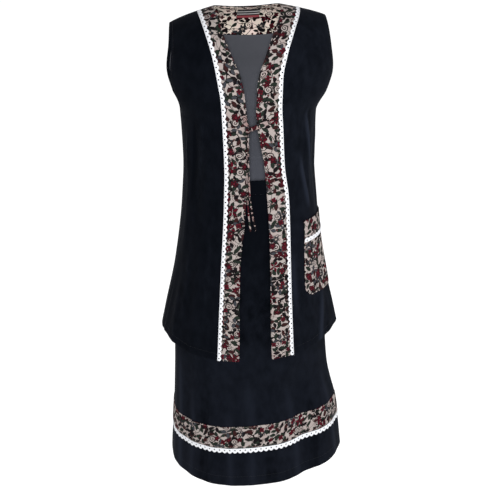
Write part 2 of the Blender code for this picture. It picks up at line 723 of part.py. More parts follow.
def skirt_row(panel, columns, height):
    """Fractional rows on the skirt's grid for a height at each column."""
    hem = np.interp(columns, np.arange(SKIRT_COLUMNS + 1), panel.height[0])
    seam = np.interp(columns, np.arange(SKIRT_COLUMNS + 1), panel.height[SKIRT_ROWS])
    return SKIRT_ROWS * (height - hem) / (seam - hem)


def skirt_pieces(name, panel, velvet, printed, lace, shift_y):
    """A skirt half: the panel, its waistband, the printed band on it and the lace under the band."""
    below = slice(0, SKIRT_ROWS + 1)
    wall(f"skirt_{name}", panel.points[below], panel.out[below], 0.0, VELVET_THICK, velvet, shift_y)
    above = slice(SKIRT_ROWS, None)
    points = panel.points[above].copy()
    points[0, :, 2] += GAP
    wall(f"skirt_waistband_{name}", points, panel.out[above], 0.0, BAND_THICK, velvet, shift_y)
    columns = np.arange(SKIRT_COLUMNS + 1, dtype=float)
    tilt = SKIRT_BAND_TILT * np.cos(np.radians(panel.angle[0]))
    top = skirt_row(panel, columns, SKIRT_BAND_TOP + tilt)
    bottom = skirt_row(panel, columns, SKIRT_BAND_BOTTOM + tilt)
    rows = np.array([bottom, (bottom + top) / 2, top])
    points, out = panel.sample(rows, np.array([columns] * 3))
    wall(f"skirt_band_{name}", points, out, GAP + TRIM_THICK, TRIM_THICK, printed, shift_y)
    line_columns = np.linspace(0.0, SKIRT_COLUMNS, LACE_LINE_STEPS * SKIRT_COLUMNS + 1)
    middle = SKIRT_BAND_BOTTOM - GAP - SKIRT_LACE_WIDTH / 2 + np.interp(line_columns, columns, tilt)
    line_rows = skirt_row(panel, line_columns, middle)
    per_metre = skirt_row(panel, line_columns, middle - 1.0) - line_rows
    lace_strip(f"skirt_lace_{name}", panel, line_rows, line_columns, SKIRT_LACE_WIDTH,
               SKIRT_LACE_SCALLOP, (per_metre, np.zeros(len(line_columns))), lace, shift_y)


def skirt_lining(panel, grey):
    """The skirt's back lining, which shows inside the waist behind the open vest."""
    hem_row = SKIRT_ROWS * SKIRT_LINING_RISE / (panel.height[SKIRT_ROWS].mean() - SKIRT_HEM)
    rows = grid_lines(hem_row, SKIRT_ROWS + SKIRT_LINING_TOP)
    i, j = np.meshgrid(rows, np.arange(SKIRT_COLUMNS + 1.0), indexing="ij")
    points, out = panel.sample(i, j)
    wall("skirt_back_lining", points, out, -(BAND_THICK + GAP), LINING_THICK, grey, GAP / 2)


def build():
    clear_scene()
    velvet = material("velvet", VELVET_COLOUR)
    printed = material("printed_cloth", PRINT_COLOUR)
    lace = material("lace", LACE_COLOUR)
    grey = material("grey_lining", LINING_COLOUR)
    label_cloth = material("label_cloth", LABEL_COLOUR)
    fronts = {side: front_panel(side) for side in ("right", "left")}
    for side, panel in fronts.items():
        vest_front(side, panel, velvet, printed)
        vest_lace(side, panel, lace)
    back_pieces(back_panel(), velvet, printed, grey, label_cloth)
    pocket_pieces(fronts["left"], printed, lace)
    ties(printed)
    for name, start, end, shift_y in (("front", 180.0, 0.0, -GAP / 2), ("back", 360.0, 180.0, GAP / 2)):
        panel = skirt_panel(start, end)
        skirt_pieces(name, panel, velvet, printed, lace, shift_y)
        if name == "back":
            skirt_lining(panel, grey)


build()
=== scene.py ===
"""Looks for the sarafan-style set: a long open vest over a long skirt, worn and hollow.

Each piece is a finer cloth shell on its solid's form, worked out from the same sizes as the solids.
Metres, +Z up, the front towards -Y and the wearer's left towards +X, the origin between the neck points.
Angles run round the body from the wearer's left (0) over the front (90) and right (180) to the back (270).
"""

import math

import bmesh
import bpy
import numpy as np
from mathutils import Matrix, Vector


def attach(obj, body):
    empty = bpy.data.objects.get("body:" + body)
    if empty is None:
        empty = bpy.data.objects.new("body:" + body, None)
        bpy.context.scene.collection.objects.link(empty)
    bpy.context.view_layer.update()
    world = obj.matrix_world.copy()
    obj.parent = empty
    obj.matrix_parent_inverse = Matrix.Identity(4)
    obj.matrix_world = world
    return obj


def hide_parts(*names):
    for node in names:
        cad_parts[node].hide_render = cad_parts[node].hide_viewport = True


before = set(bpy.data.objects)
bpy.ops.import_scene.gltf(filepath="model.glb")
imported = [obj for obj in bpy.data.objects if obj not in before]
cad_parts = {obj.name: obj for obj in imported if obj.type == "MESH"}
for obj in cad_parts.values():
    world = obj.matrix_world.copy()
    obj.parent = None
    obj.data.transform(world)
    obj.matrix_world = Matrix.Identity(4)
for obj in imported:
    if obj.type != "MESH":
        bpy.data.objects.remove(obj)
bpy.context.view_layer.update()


# Cloth walls and the gaps between sewn pieces, as in the solids
VELVET_THICK = 0.0018
BAND_THICK = 0.0022
LINING_THICK = 0.0010
FACING_THICK = 0.0012
TRIM_THICK = 0.0012
LABEL_THICK = 0.0008
GAP = 0.0003
POCKET_GAP = 0.0009
LABEL_GAP = 0.0008

# Form of both garments: roundness of a section, radii of the shoulder's roll, least depth for a direction
ROUNDNESS = 2.25
SHOULDER_RADIUS = 0.110
BACK_SHOULDER_RADIUS = 0.075
LEAST_DEPTH = 0.02

# Vest sections at the outer face of the cloth
# height, half width, front depth, back depth, sideways lean
VEST_SECTIONS = (
    (0.000, 0.206, 0.122, 0.106, 0.0010),
    (-0.120, 0.213, 0.126, 0.114, 0.0035),
    (-0.190, 0.197, 0.128, 0.118, 0.0030),
    (-0.250, 0.1680, 0.128, 0.120, -0.0005),
    (-0.360, 0.1655, 0.130, 0.122, -0.0005),
    (-0.470, 0.1735, 0.133, 0.126, 0.0000),
    (-0.640, 0.1955, 0.142, 0.136, -0.0032),
    (-0.780, 0.2265, 0.150, 0.146, -0.0055),
    (-0.930, 0.2600, 0.160, 0.156, -0.0070),
)

# Skirt sections at the outer face of the cloth, same columns
SKIRT_SECTIONS = (
    (-0.640, 0.1825, 0.130, 0.122, -0.0030),
    (-0.803, 0.2040, 0.132, 0.130, -0.0040),
    (-0.968, 0.2140, 0.142, 0.140, -0.0020),
    (-1.100, 0.2325, 0.174, 0.168, 0.0075),
    (-1.250, 0.2470, 0.213, 0.200, 0.0090),
)

# The skirt's waist at two heights: its front rests against the inside of the vest's bands
# height, half width, back depth
WAIST_SEATS = (
    (-0.390, 0.1575, 0.106),
    (-0.440, 0.1630, 0.111),
)
WAIST_SEAT = 0.0004

# Vest: heights, neck, skew of the back's rows, and the share of a row's slope reached at the band's seam
ARMPIT_HEIGHT = -0.250
VEST_HEM_FRONT = -0.883
VEST_HEM_SIDE_RISE = 0.046
SHOULDER_TIP_RIGHT = -0.0350
SHOULDER_TIP_LEFT = -0.0275
NECK_HALF_WIDTH = 0.078
BACK_NECK_DROP = 0.0095
BACK_SKEW = 0.011
SEAM_SHARE = 0.35

# Front edge of the vest: distance of the band's free edge and of its seam from the centre front
# height, wearer's right free edge, right seam, wearer's left free edge, left seam
FRONT_EDGES = (
    (0.000, 0.0800, 0.1190, 0.0765, 0.1250),
    (-0.050, 0.0700, 0.1066, 0.0435, 0.0910),
    (-0.100, 0.0535, 0.0950, 0.0200, 0.0680),
    (-0.150, 0.0345, 0.0860, 0.0033, 0.0572),
    (-0.200, 0.0265, 0.0780, -0.0010, 0.0560),
    (-0.250, 0.0190, 0.0728, 0.0025, 0.0610),
    (-0.363, 0.0180, 0.0708, 0.0208, 0.0665),
    (-0.440, 0.0250, 0.0740, 0.0260, 0.0765),
    (-0.506, 0.0300, 0.0775, 0.0298, 0.0800),
    (-0.620, 0.0410, 0.0840, 0.0350, 0.0850),
    (-0.850, 0.0450, 0.0970, 0.0395, 0.0950),
    (-0.930, 0.0490, 0.1020, 0.0440, 0.0990),
)

# Armhole edge: height and distance from the centre, on the front and on the back
ARMHOLE = (
    (-0.035, 0.1855, 0.1855),
    (-0.090, 0.1890, 0.1900),
    (-0.150, 0.1950, 0.1985),
    (-0.200, 0.1810, 0.1870),
    (-0.230, 0.1710, 0.1740),
)
ARMPIT_CURVE = 0.045

# Soft folds that hang in the vest, round the body and down it
# angle, half width in degrees, top height, bottom height, drift in degrees, rise of the cloth
VEST_FOLDS = (
    (38.0, 5.0, -0.200, -0.520, 2.0, 0.0040),
    (24.0, 4.5, -0.230, -0.560, -3.0, -0.0025),
    (55.0, 5.0, -0.300, -0.700, 3.0, -0.0022),
    (17.0, 5.0, -0.560, -0.930, -2.0, 0.0045),
    (40.0, 6.0, -0.620, -0.930, 3.0, -0.0030),
    (142.0, 5.5, -0.230, -0.560, 3.0, -0.0036),
    (156.0, 5.0, -0.260, -0.640, 4.0, 0.0028),
    (134.0, 5.0, -0.520, -0.930, -2.0, 0.0028),
    (163.0, 6.0, -0.600, -0.930, 1.0, -0.0032),
    (226.0, 7.0, -0.240, -0.660, -4.0, -0.0036),
    (208.0, 6.0, -0.480, -0.930, 2.0, 0.0040),
    (252.0, 8.0, -0.380, -0.930, -2.0, 0.0036),
    (288.0, 8.0, -0.300, -0.930, 4.0, 0.0040),
    (271.0, 6.0, -0.520, -0.930, 1.0, -0.0032),
    (312.0, 7.0, -0.240, -0.700, 3.0, -0.0036),
    (332.0, 6.0, -0.520, -0.930, -2.0, 0.0036),
)

# Soft folds that hang in the skirt, same columns
SKIRT_FOLDS = (
    (20.0, 6.0, -0.640, -1.243, -3.0, 0.0040),
    (43.0, 7.0, -0.780, -1.243, 3.0, -0.0018),
    (63.0, 13.0, -0.900, -1.243, 0.0, -0.0170),
    (68.0, 8.0, -0.860, -1.243, 2.0, 0.0014),
    (97.0, 8.0, -0.900, -1.243, -2.0, -0.0014),
    (121.0, 7.0, -0.820, -1.243, 3.0, 0.0016),
    (147.0, 7.0, -0.700, -1.243, 2.0, -0.0018),
    (168.0, 6.0, -0.740, -1.243, -1.0, 0.0018),
    (205.0, 7.0, -0.620, -1.243, 3.0, 0.0046),
    (231.0, 7.0, -0.700, -1.243, -3.0, -0.0042),
    (258.0, 8.0, -0.560, -1.243, 2.0, 0.0044),
    (283.0, 8.0, -0.640, -1.243, 3.0, -0.0040),
    (306.0, 7.0, -0.720, -1.243, -2.0, 0.0040),
    (334.0, 7.0, -0.660, -1.243, 2.0, -0.0040),
)

# Height over which a fold fades at its ends
FOLD_FADE = 0.110

# Finer creases in the vest and the skirt, same columns as the folds
VEST_CREASES = (
    (46.0, 2.0, -0.215, -0.415, -16.0, 0.0030),
    (41.5, 1.6, -0.225, -0.400, -14.0, -0.0020),
    (50.0, 2.2, -0.330, -0.500, -11.0, 0.0028),
    (46.5, 1.8, -0.340, -0.480, -10.0, -0.0018),
    (13.0, 2.0, -0.262, -0.420, 5.0, 0.0018),
    (22.0, 2.4, -0.560, -0.740, -4.0, 0.0014),
    (62.0, 2.2, -0.560, -0.800, 2.0, 0.0010),
    (29.0, 2.4, -0.690, -0.930, 21.0, 0.0020),
    (25.0, 2.2, -0.700, -0.930, 16.0, -0.0014),
    (10.0, 2.6, -0.700, -0.930, 4.0, 0.0016),
    (133.0, 2.0, -0.230, -0.430, 12.0, 0.0018),
    (143.0, 2.4, -0.225, -0.470, 9.0, -0.0024),
    (156.0, 1.8, -0.258, -0.420, 6.0, 0.0020),
    (127.0, 2.6, -0.500, -0.760, -3.0, 0.0009),
    (150.0, 2.8, -0.560, -0.820, -6.0, 0.0012),
    (158.0, 2.6, -0.680, -0.930, -10.0, 0.0015),
    (171.0, 2.2, -0.640, -0.930, 3.0, -0.0020),
    (192.0, 2.2, -0.262, -0.440, 9.0, 0.0022),
    (205.0, 2.4, -0.250, -0.460, 12.0, -0.0020),
    (216.0, 2.6, -0.520, -0.930, -6.0, 0.0024),
    (233.0, 2.4, -0.300, -0.560, -8.0, 0.0022),
    (246.0, 2.6, -0.580, -0.930, 4.0, -0.0020),
    (262.0, 2.6, -0.340, -0.640, 3.0, 0.0018),
    (277.0, 2.4, -0.600, -0.930, -5.0, 0.0024),
    (291.0, 2.6, -0.320, -0.600, 6.0, -0.0020),
    (304.0, 2.4, -0.560, -0.930, 8.0, 0.0022),
    (324.0, 2.2, -0.255, -0.470, -9.0, 0.0024),
    (338.0, 2.4, -0.600, -0.930, 5.0, 0.0020),
    (349.0, 2.0, -0.262, -0.420, -4.0, -0.0018),
)
SKIRT_CREASES = (
    (12.0, 3.0, -0.880, -1.243, 3.0, 0.0013),
    (33.0, 3.2, -0.940, -1.243, -3.0, 0.0010),
    (52.0, 2.6, -1.020, -1.243, 2.0, -0.0009),
    (71.0, 3.0, -0.960, -1.243, -2.0, 0.0008),
    (86.0, 2.4, -1.060, -1.243, 1.0, -0.0007),
    (95.0, 2.8, -0.920, -1.243, 2.0, 0.0007),
    (112.0, 2.6, -1.020, -1.243, -2.0, 0.0008),
    (128.0, 3.0, -0.920, -1.243, 3.0, -0.0009),
    (141.0, 2.8, -0.980, -1.243, 2.0, 0.0009),
    (160.0, 3.2, -0.860, -1.243, -3.0, 0.0013),
    (193.0, 2.6, -0.700, -1.243, 4.0, -0.0020),
    (218.0, 2.8, -0.800, -1.243, -4.0, 0.0024),
    (240.0, 2.6, -0.620, -1.243, 3.0, -0.0022),
    (268.0, 2.8, -0.760, -1.243, -3.0, 0.0022),
    (295.0, 2.6, -0.660, -1.243, 4.0, -0.0022),
    (320.0, 2.8, -0.820, -1.243, 3.0, 0.0024),
    (347.0, 2.6, -0.740, -1.243, -4.0, -0.0020),
)

# Creases: the share of a crease over which each end fades, and the rise at which its painted highlight is
# full
CREASE_FADE = 0.35
CREASE_FULL_HIGHLIGHT = 0.0026

# Painted light and shade on the velvet, darker below 0 and lighter above: the wearer's right front painted
# darker and the left lighter, the skirt's by height, with painted shade high up under the vest and painted
# light towards the hem
FRONT_PAINTED_LIGHT_AND_SHADE = {"right": -0.55, "left": 0.30}
SKIRT_PAINTED_LIGHT_AND_SHADE = ((-0.86, -0.78, -0.67, -0.50), (0.38, 0.0, -0.45, -0.90))

# Skirt: heights, how far it hangs askew, and how far its lining reaches
SKIRT_HEM = -1.2465
SKIRT_HEM_TILT = 0.0055
SKIRT_TOP = -0.392
WAIST_BACK_DIP = 0.015
WAISTBAND_HEIGHT = 0.036
SKIRT_BAND_TOP = -1.0795
SKIRT_BAND_BOTTOM = -1.139
SKIRT_BAND_TILT = 0.0070
SKIRT_LINING_RISE = 0.030
SKIRT_LINING_REACH = 1.03

# Lace edging: scallop pitch, thickness, distance off the cloth, reach of a join, eyelets, steps along edges
LACE_PITCH = 0.0142
LACE_THICK = 0.0008
LACE_OFF = 0.0010
LACE_JOIN = 0.00002
EYELET_RADIUS = 0.0019
EYELET_PLACE = -0.12
LACE_SIDE_STEPS = 3
LACE_TOP_STEPS = 12
LACE_BOTTOM_STEPS = 8

# Rings of the lace from its eyelet outwards: share of the way to the edge, rise of the stitched rim
LACE_RINGS = ((0.0, 0.00025), (0.22, 0.00040), (0.45, 0.0), (0.75, 0.0), (1.0, 0.00018))

# Reach of the lace either side of the line it lies on, and depth of its scallops
VEST_LACE = (-0.0044, 0.0058, 0.0036)
SKIRT_LACE = (-0.0062, 0.0070, 0.0046)
POCKET_LACE = (-0.0056, 0.0056, 0.0026)

# Patch pocket on the wearer's left side, from its own edges
POCKET_WIDTH = 0.122
POCKET_HEIGHT = 0.208
POCKET_TOP = -0.514
POCKET_INNER_TOP = 0.1235
POCKET_INNER_BOTTOM = 0.1310
POCKET_CORNER = 0.032
POCKET_CORNER_TURN = 86.0
POCKET_LACE_DROP = 0.0515
POCKET_PUFF = 0.0012
POCKET_PUFF_EDGE = 0.02
PAST_SIDE = -0.1

# Inside the back: columns that its pieces keep clear of an armhole, the lining's hem, and the label
ARMHOLE_TURNING = 6.0
LINING_HEM_RISE = 0.026
LABEL_WIDTH = 0.056
LABEL_HEIGHT = 0.040
LABEL_DROP = 0.016
LABEL_SHIFT = 0.0145

# Ties: widths, thickness, squareness of the section, and waves along a strip as pitch and share
STRAP_WIDTH = 0.011
TIE_END_WIDTH = 0.0040
TIE_THICK = 0.0020
STRIP_SQUARENESS = 0.45
STRIP_WAVES = ((0.013, 0.10), (0.0047, 0.06))
TIE_WAVE = (0.031, 0.06)

# Knot: width of the tie in it and how far it is drawn in, then the coil that its own strip is wound in
KNOT_PINCH = 0.0080
KNOT_REACH = 0.012
KNOT_WIDTH = 0.0060
KNOT_THICK = 0.0024
KNOT_TURNS = 2.0
KNOT_STEPS = 64
KNOT_RADIUS = 0.0044
KNOT_SWELL = 0.0010
KNOT_BREADTH = 1.15
KNOT_RISE = 0.0014
KNOT_WAVES = 1.5
KNOT_PHASE = 0.6
KNOT_LEAN = 0.10
KNOT_FACING = 0.004

# Routes of the ties: distance from the centre, height, and how far off the cloth the strip lies
KNOT_PLACE = (-0.0187, -0.2640, 0.0043)
STRAP_LEFT = (
    (0.0515, -0.2465, 0.0012),
    (0.0350, -0.2490, 0.0012),
    (0.0180, -0.2535, 0.0014),
    (0.0030, -0.2590, 0.0022),
    (-0.0112, -0.2630, 0.0034),
)
STRAP_RIGHT = (
    (-0.0330, -0.2120, 0.0012),
    (-0.0290, -0.2280, 0.0012),
    (-0.0235, -0.2460, 0.0014),
    (-0.0205, -0.2575, 0.0024),
)
TIE_END_LONG = (
    (-0.0205, -0.2704, 0.0022),
    (-0.0222, -0.2900, 0.0014),
    (-0.0222, -0.3300, 0.0012),
    (-0.0220, -0.3880, 0.0014),
    (-0.0222, -0.4350, 0.0016),
    (-0.0205, -0.4750, 0.0022),
    (-0.0160, -0.5200, 0.0030),
)
TIE_END_SHORT = (
    (-0.0165, -0.2704, 0.0052),
    (-0.0185, -0.2950, 0.0042),
    (-0.0185, -0.3400, 0.0038),
    (-0.0180, -0.3900, 0.0040),
    (-0.0160, -0.4400, 0.0044),
    (-0.0110, -0.4800, 0.0052),
    (-0.0030, -0.5170, 0.0062),
)

# The solids' rows above the armpit, as shares of the way down from the shoulder line
UPPER_SHARES = (1.0, 0.955, 0.880, 0.780, 0.620, 0.465, 0.326, 0.213, 0.120, 0.054, 0.014, 0.0)

# Grid sizes: each of the solids' rows and columns is parted into a whole number here
PARTS_UP = 5
LOWER_ROWS = 75
UPPER_ROWS = 11 * PARTS_UP
FACING_ROWS = 5 * PARTS_UP
BAND_COLUMNS = 12
FRONT_COLUMNS = 44
BACK_NECK_COLUMNS = 21
BACK_SIDE_COLUMNS = 54
FACING_COLUMNS = 39
SKIRT_ROWS = 90
WAISTBAND_ROWS = 6
SKIRT_COLUMNS = 150
BAND_ROWS = 12
SKIRT_LINING_ROWS = 90
BACK_LINING_GRID = (110, 140)
LABEL_GRID = (24, 30)
POCKET_BODY_ROWS = 30
POCKET_CORNER_ROWS = 14
POCKET_COLUMNS = 40

# Rounded edges of a cloth: angles of their rings in degrees
RIM_TURNS = (35.0, 90.0, 145.0)

# Points that lines on the cloth are measured and sewn over
RING_STEPS = 60
BACK_STEPS = 2000
SEAM_STEPS = 8
SKIRT_LINE_STEPS = 6
FRONT_HEM_STEPS = 400
BACK_HEM_STEPS = 900
ARMHOLE_STEPS = 300
POCKET_SIDE_STEPS = 60
POCKET_TURN_STEPS = 24

# Ties: sides of a strip's section and steps along each stretch of its route
STRIP_SIDES = 14
ROUTE_STEPS = 6

# Camera: turn, tilt and roll in degrees, distance and height in metres, lens and sensor in millimetres
CAMERA_TURN = 7.65
CAMERA_DOWN = 24.55
CAMERA_ROLL = -0.679
CAMERA_DISTANCE = 1.98
CAMERA_HEIGHT = 0.2715
CAMERA_LENS = 58.71
CAMERA_SENSOR = 36.0

# Floor, room and light: name, place, size and power of each lamp
FLOOR_HEIGHT = -1.60
FLOOR_HALF = 30.0
WORLD_STRENGTH = 0.84
FLOOR_GLOW = 0.26
LIGHT_AIM = (0.0, 0.0, -0.6)
LIGHTS = (
    ("front_light", (-0.268, -2.00, 0.285), 0.12, 28.0),
    ("key_light", (2.6, -2.2, 0.2), 1.6, 42.0),
)

# Where in the printed cloth each piece is cut, in metres, so that no two show the same flowers
CUT_PLACES = {"band_left": 0.43, "pocket_patch": 1.31, "band_front": 2.17, "band_back": 3.05, "facing": 4.12,
              "tie_left": 5.21, "tie_right": 5.87, "knot_wound": 6.53}

# Sewing: pitch, length and half thickness of a stitch, and how far off the cloth its rows lie
STITCH_PITCH = 0.0030
STITCH_LENGTH = 0.0022
STITCH_HALF = 0.00022
STITCH_OFF = 0.0001
LACE_STITCH_OFF = 0.0016
POCKET_STITCH_OFF = 0.0002

# A stitch's rings: share of its length, rise, share of its half thickness; and the corners of a ring
STITCH_RINGS = ((0.0, -0.00022, 0.5), (0.25, 0.0, 1.0), (0.75, 0.0, 1.0), (1.0, -0.00022, 0.5))
STITCH_CORNERS = ((1, 0), (0, 1), (-1, 0), (0, -1))

# Distances of the rows of stitches from edges and seams
EDGE_SEWING = 0.0022
LACE_SEWING = 0.0030
ARMHOLE_SEWING = 0.0065
VEST_HEM_SEWING = 0.020
SKIRT_HEM_SEWING = 0.026
POCKET_SEWING_TOP = 0.002


def unit(vectors):
    """Vectors brought to length 1."""
    return vectors / np.linalg.norm(vectors, axis=-1, keepdims=True)


def along(points):
    """Distance along a line of points."""
    return np.concatenate([[0.0], np.cumsum(np.linalg.norm(np.diff(points, axis=0), axis=1))])


def column(table, index, height):
    """One column of a table at any height, on a smooth curve that keeps between its rows."""
    rows = sorted(table)
    at = np.array([row[0] for row in rows])
    value = np.array([row[index] for row in rows])
    step = np.diff(at)
    rate = np.diff(value) / step
    slope = np.zeros(len(at))
    slope[0], slope[-1] = rate[0], rate[-1]
    turning = rate[:-1] * rate[1:] <= 0
    before = 2 * step[1:] + step[:-1]
    after = step[1:] + 2 * step[:-1]
    safe = np.where(turning, 1.0, rate[:-1])
    safe_next = np.where(turning, 1.0, rate[1:])
    middle = (before + after) / (before / safe + after / safe_next)
    slope[1:-1] = np.where(turning, 0.0, middle)
    height = np.clip(np.asarray(height, float), at[0], at[-1])
    k = np.clip(np.searchsorted(at, height) - 1, 0, len(step) - 1)
    t = (height - at[k]) / step[k]
    start = value[k] * (1 + 2 * t) * (1 - t) ** 2 + slope[k] * step[k] * t * (1 - t) ** 2
    end = value[k + 1] * t * t * (3 - 2 * t) + slope[k + 1] * step[k] * t * t * (t - 1)
    return start + end


def soft_step(share):
    """A smooth step from 0 to 1."""
    share = np.clip(share, 0.0, 1.0)
    return share * share * (3 - 2 * share)


def stands_out(table, angle, height, fade=None):
    """How far the cloth stands out because of folds or creases, which fade at ends clear of the hem.

    A fade is as long as given, or else the same share of each one's length.
    """
    total = np.zeros(np.broadcast(angle, height).shape)
    hem = min(row[3] for row in table)
    for middle, half_width, top, bottom, drift, rise in table:
        over = fade or CREASE_FADE * (top - bottom)
        shown = soft_step((top - height) / over)
        if bottom > hem:
            shown = shown * soft_step((height - bottom) / over)
        down = np.clip((top - height) / (top - bottom), 0.0, 1.0)
        away = (angle - middle - drift * down) / half_width
        total = total + rise * shown * np.exp(-away * away)
    return total


def body_point(sections, tables, angle, height, drop):
    """A point of the cloth's outer face; drop is the way down from the shoulder line."""
    half_width = column(sections, 1, height)
    turn = np.radians(angle)
    across, deep = np.cos(turn), np.sin(turn)
    front = column(sections, 2, height)
    back = column(sections, 3, height)
    power = 2.0 / ROUNDNESS
    radius = np.where(deep > 0, SHOULDER_RADIUS, BACK_SHOULDER_RADIUS)
    over = 1.0 - np.clip(drop, 0.0, radius) / radius
    rolled = np.sqrt(1.0 - over * over)
    depth = np.where(deep > 0, front, back) * rolled
    x = half_width * np.sign(across) * np.abs(across) ** power
    y = -depth * np.sign(deep) * np.abs(deep) ** power
    out_x, out_y = across / half_width, -deep / np.maximum(depth, LEAST_DEPTH)
    length = np.hypot(out_x, out_y)
    stand = stands_out(tables[0], angle, height, FOLD_FADE) + stands_out(tables[1], angle, height)
    x = x + column(sections, 4, height) + stand * out_x / length
    y = y + stand * out_y / length
    return np.stack([x, y, height + 0.0 * x], axis=-1)


def vest_surface(angle, height, drop):
    """Points of the vest's outer face."""
    return body_point(VEST_SECTIONS, (VEST_FOLDS, VEST_CREASES), angle, height, drop)


def waist_rows():
    """The skirt's sections at the waist, whose front depth leaves it just inside the vest's bands."""
    rows = []
    for height, half_width, back in WAIST_SEATS:
        front = float(column(VEST_SECTIONS, 2, height)) - BAND_THICK - WAIST_SEAT
        rows.append((height, half_width, front, back, 0.0))
    return tuple(rows)


def skirt_surface(angle, height, drop):
    """Points of the skirt's outer face."""
    return body_point(waist_rows() + SKIRT_SECTIONS, (SKIRT_FOLDS, SKIRT_CREASES), angle, height, drop)


def face_of(surface, angle, height, drop=SHOULDER_RADIUS):
    """Points on a garment's outer face and the outward direction at each."""
    small_turn, small_step = 0.02, 0.0001
    points = surface(angle, height, drop)
    turned = surface(angle + small_turn, height, drop)
    lowered = surface(angle, height - small_step, drop + small_step)
    return points, unit(np.cross(points - turned, points - lowered))


def angle_at(x, height):
    """The angle on the wearer's left front of the vest whose point lies x from the centre."""
    share = np.clip(x / column(VEST_SECTIONS, 1, height), 0.0, 1.0)
    return np.degrees(np.arccos(share ** (ROUNDNESS / 2.0)))


class Panel:
    """A fine grid on a garment's outer face, and any place between its lines."""

    def __init__(self, surface, rows):
        self.surface = surface
        self.angle, self.height, self.drop = (np.array([row[k] for row in rows]) for k in range(3))
        self.points, self.out = face_of(surface, self.angle, self.height, self.drop)
        self.rows, self.columns = (count - 1 for count in self.angle.shape)

    def sample(self, rows, columns):
        """Points and outward directions at places counted in rows and columns, whole or not."""
        rows, columns = np.broadcast_arrays(np.asarray(rows, float), np.asarray(columns, float))
        i = np.clip(np.floor(rows).astype(int), 0, self.rows - 1)
        j = np.clip(np.floor(columns).astype(int), 0, self.columns - 1)
        u, v = rows - i, columns - j
        found = []
        for grid in (self.angle, self.height, self.drop):
            low = grid[i, j] * (1 - v) + grid[i, j + 1] * v
            high = grid[i + 1, j] * (1 - v) + grid[i + 1, j + 1] * v
            found.append(low * (1 - u) + high * u)
        return face_of(self.surface, *found)

    def beside(self, rows, column_from, distance):
        """Places a distance along the cloth from a column, towards higher columns if positive."""
        rows = np.asarray(rows, float)
        toward = np.where(np.asarray(distance) > 0, 1.0, -1.0)
        here, _ = self.sample(rows, column_from + 0.0 * rows)
        there, _ = self.sample(rows, column_from + toward)
        step = np.linalg.norm(there - here, axis=-1)
        return self.sample(rows, column_from + distance / step)


def armhole_angle(index, height):
    """Angle of the armhole's edge from the side, front or back, rounded off into the armpit."""
    above = np.maximum(height, ARMPIT_HEIGHT + ARMPIT_CURVE)
    angle = angle_at(column(ARMHOLE, index, above), above)
    share = np.clip((height - ARMPIT_HEIGHT) / ARMPIT_CURVE, 0.0, 1.0)
    return angle * np.sqrt(1.0 - (1.0 - share) ** 2)


def vest_hem_height(angle):
    """Height of the vest's hem, which rises towards the sides."""
    return VEST_HEM_FRONT + VEST_HEM_SIDE_RISE * np.cos(np.radians(angle)) ** 2


def upper_shares():
    """Shares of the way down from the shoulder line for the rows above the armpit."""
    at = np.linspace(0.0, len(UPPER_SHARES) - 1.0, UPPER_ROWS + 1)
    return np.interp(at, np.arange(len(UPPER_SHARES)), np.sqrt(UPPER_SHARES))[1:] ** 2


def front_row(row, side, shares):
    """Angles, heights and drops along one row of a half front, from the free edge to the side."""
    upper = max(row - LOWER_ROWS, 0)
    tip = SHOULDER_TIP_RIGHT if side == "right" else SHOULDER_TIP_LEFT
    edge_column, seam_column = (1, 2) if side == "right" else (3, 4)
    if upper:
        inner_drop = -ARMPIT_HEIGHT * shares[upper - 1]
        outer_drop = (tip - ARMPIT_HEIGHT) * shares[upper - 1]
        inner, outer = -inner_drop, tip - outer_drop
        outer_angle = armhole_angle(1, outer)
    else:
        inner_drop = outer_drop = SHOULDER_RADIUS
        inner = VEST_HEM_FRONT + (ARMPIT_HEIGHT - VEST_HEM_FRONT) * row / LOWER_ROWS
        outer = inner
        outer_angle = 0.0
    edge = angle_at(column(FRONT_EDGES, edge_column, inner), inner)
    seam_height = inner + (outer - inner) * SEAM_SHARE * min(upper, 1)
    seam = angle_at(column(FRONT_EDGES, seam_column, seam_height), seam_height)
    band = np.linspace(edge, seam, BAND_COLUMNS + 1)
    cloth = np.linspace(seam, outer_angle, FRONT_COLUMNS + 1)[1:]
    angle = np.concatenate([band, cloth])
    share_out = (edge - angle) / (edge - outer_angle)
    if upper:
        height = inner + (outer - inner) * share_out
        drop = inner_drop + (outer_drop - inner_drop) * share_out
    else:
        hem = vest_hem_height(angle)
        height = hem + (ARMPIT_HEIGHT - hem) * row / LOWER_ROWS
        drop = np.full(len(angle), SHOULDER_RADIUS)
    if side == "right":
        angle = 180.0 - angle
    return angle, height, drop


def front_panel(side):
    """One half front, its band included."""
    shares = upper_shares()
    rows = range(LOWER_ROWS + UPPER_ROWS + 1)
    return Panel(vest_surface, [front_row(row, side, shares) for row in rows])


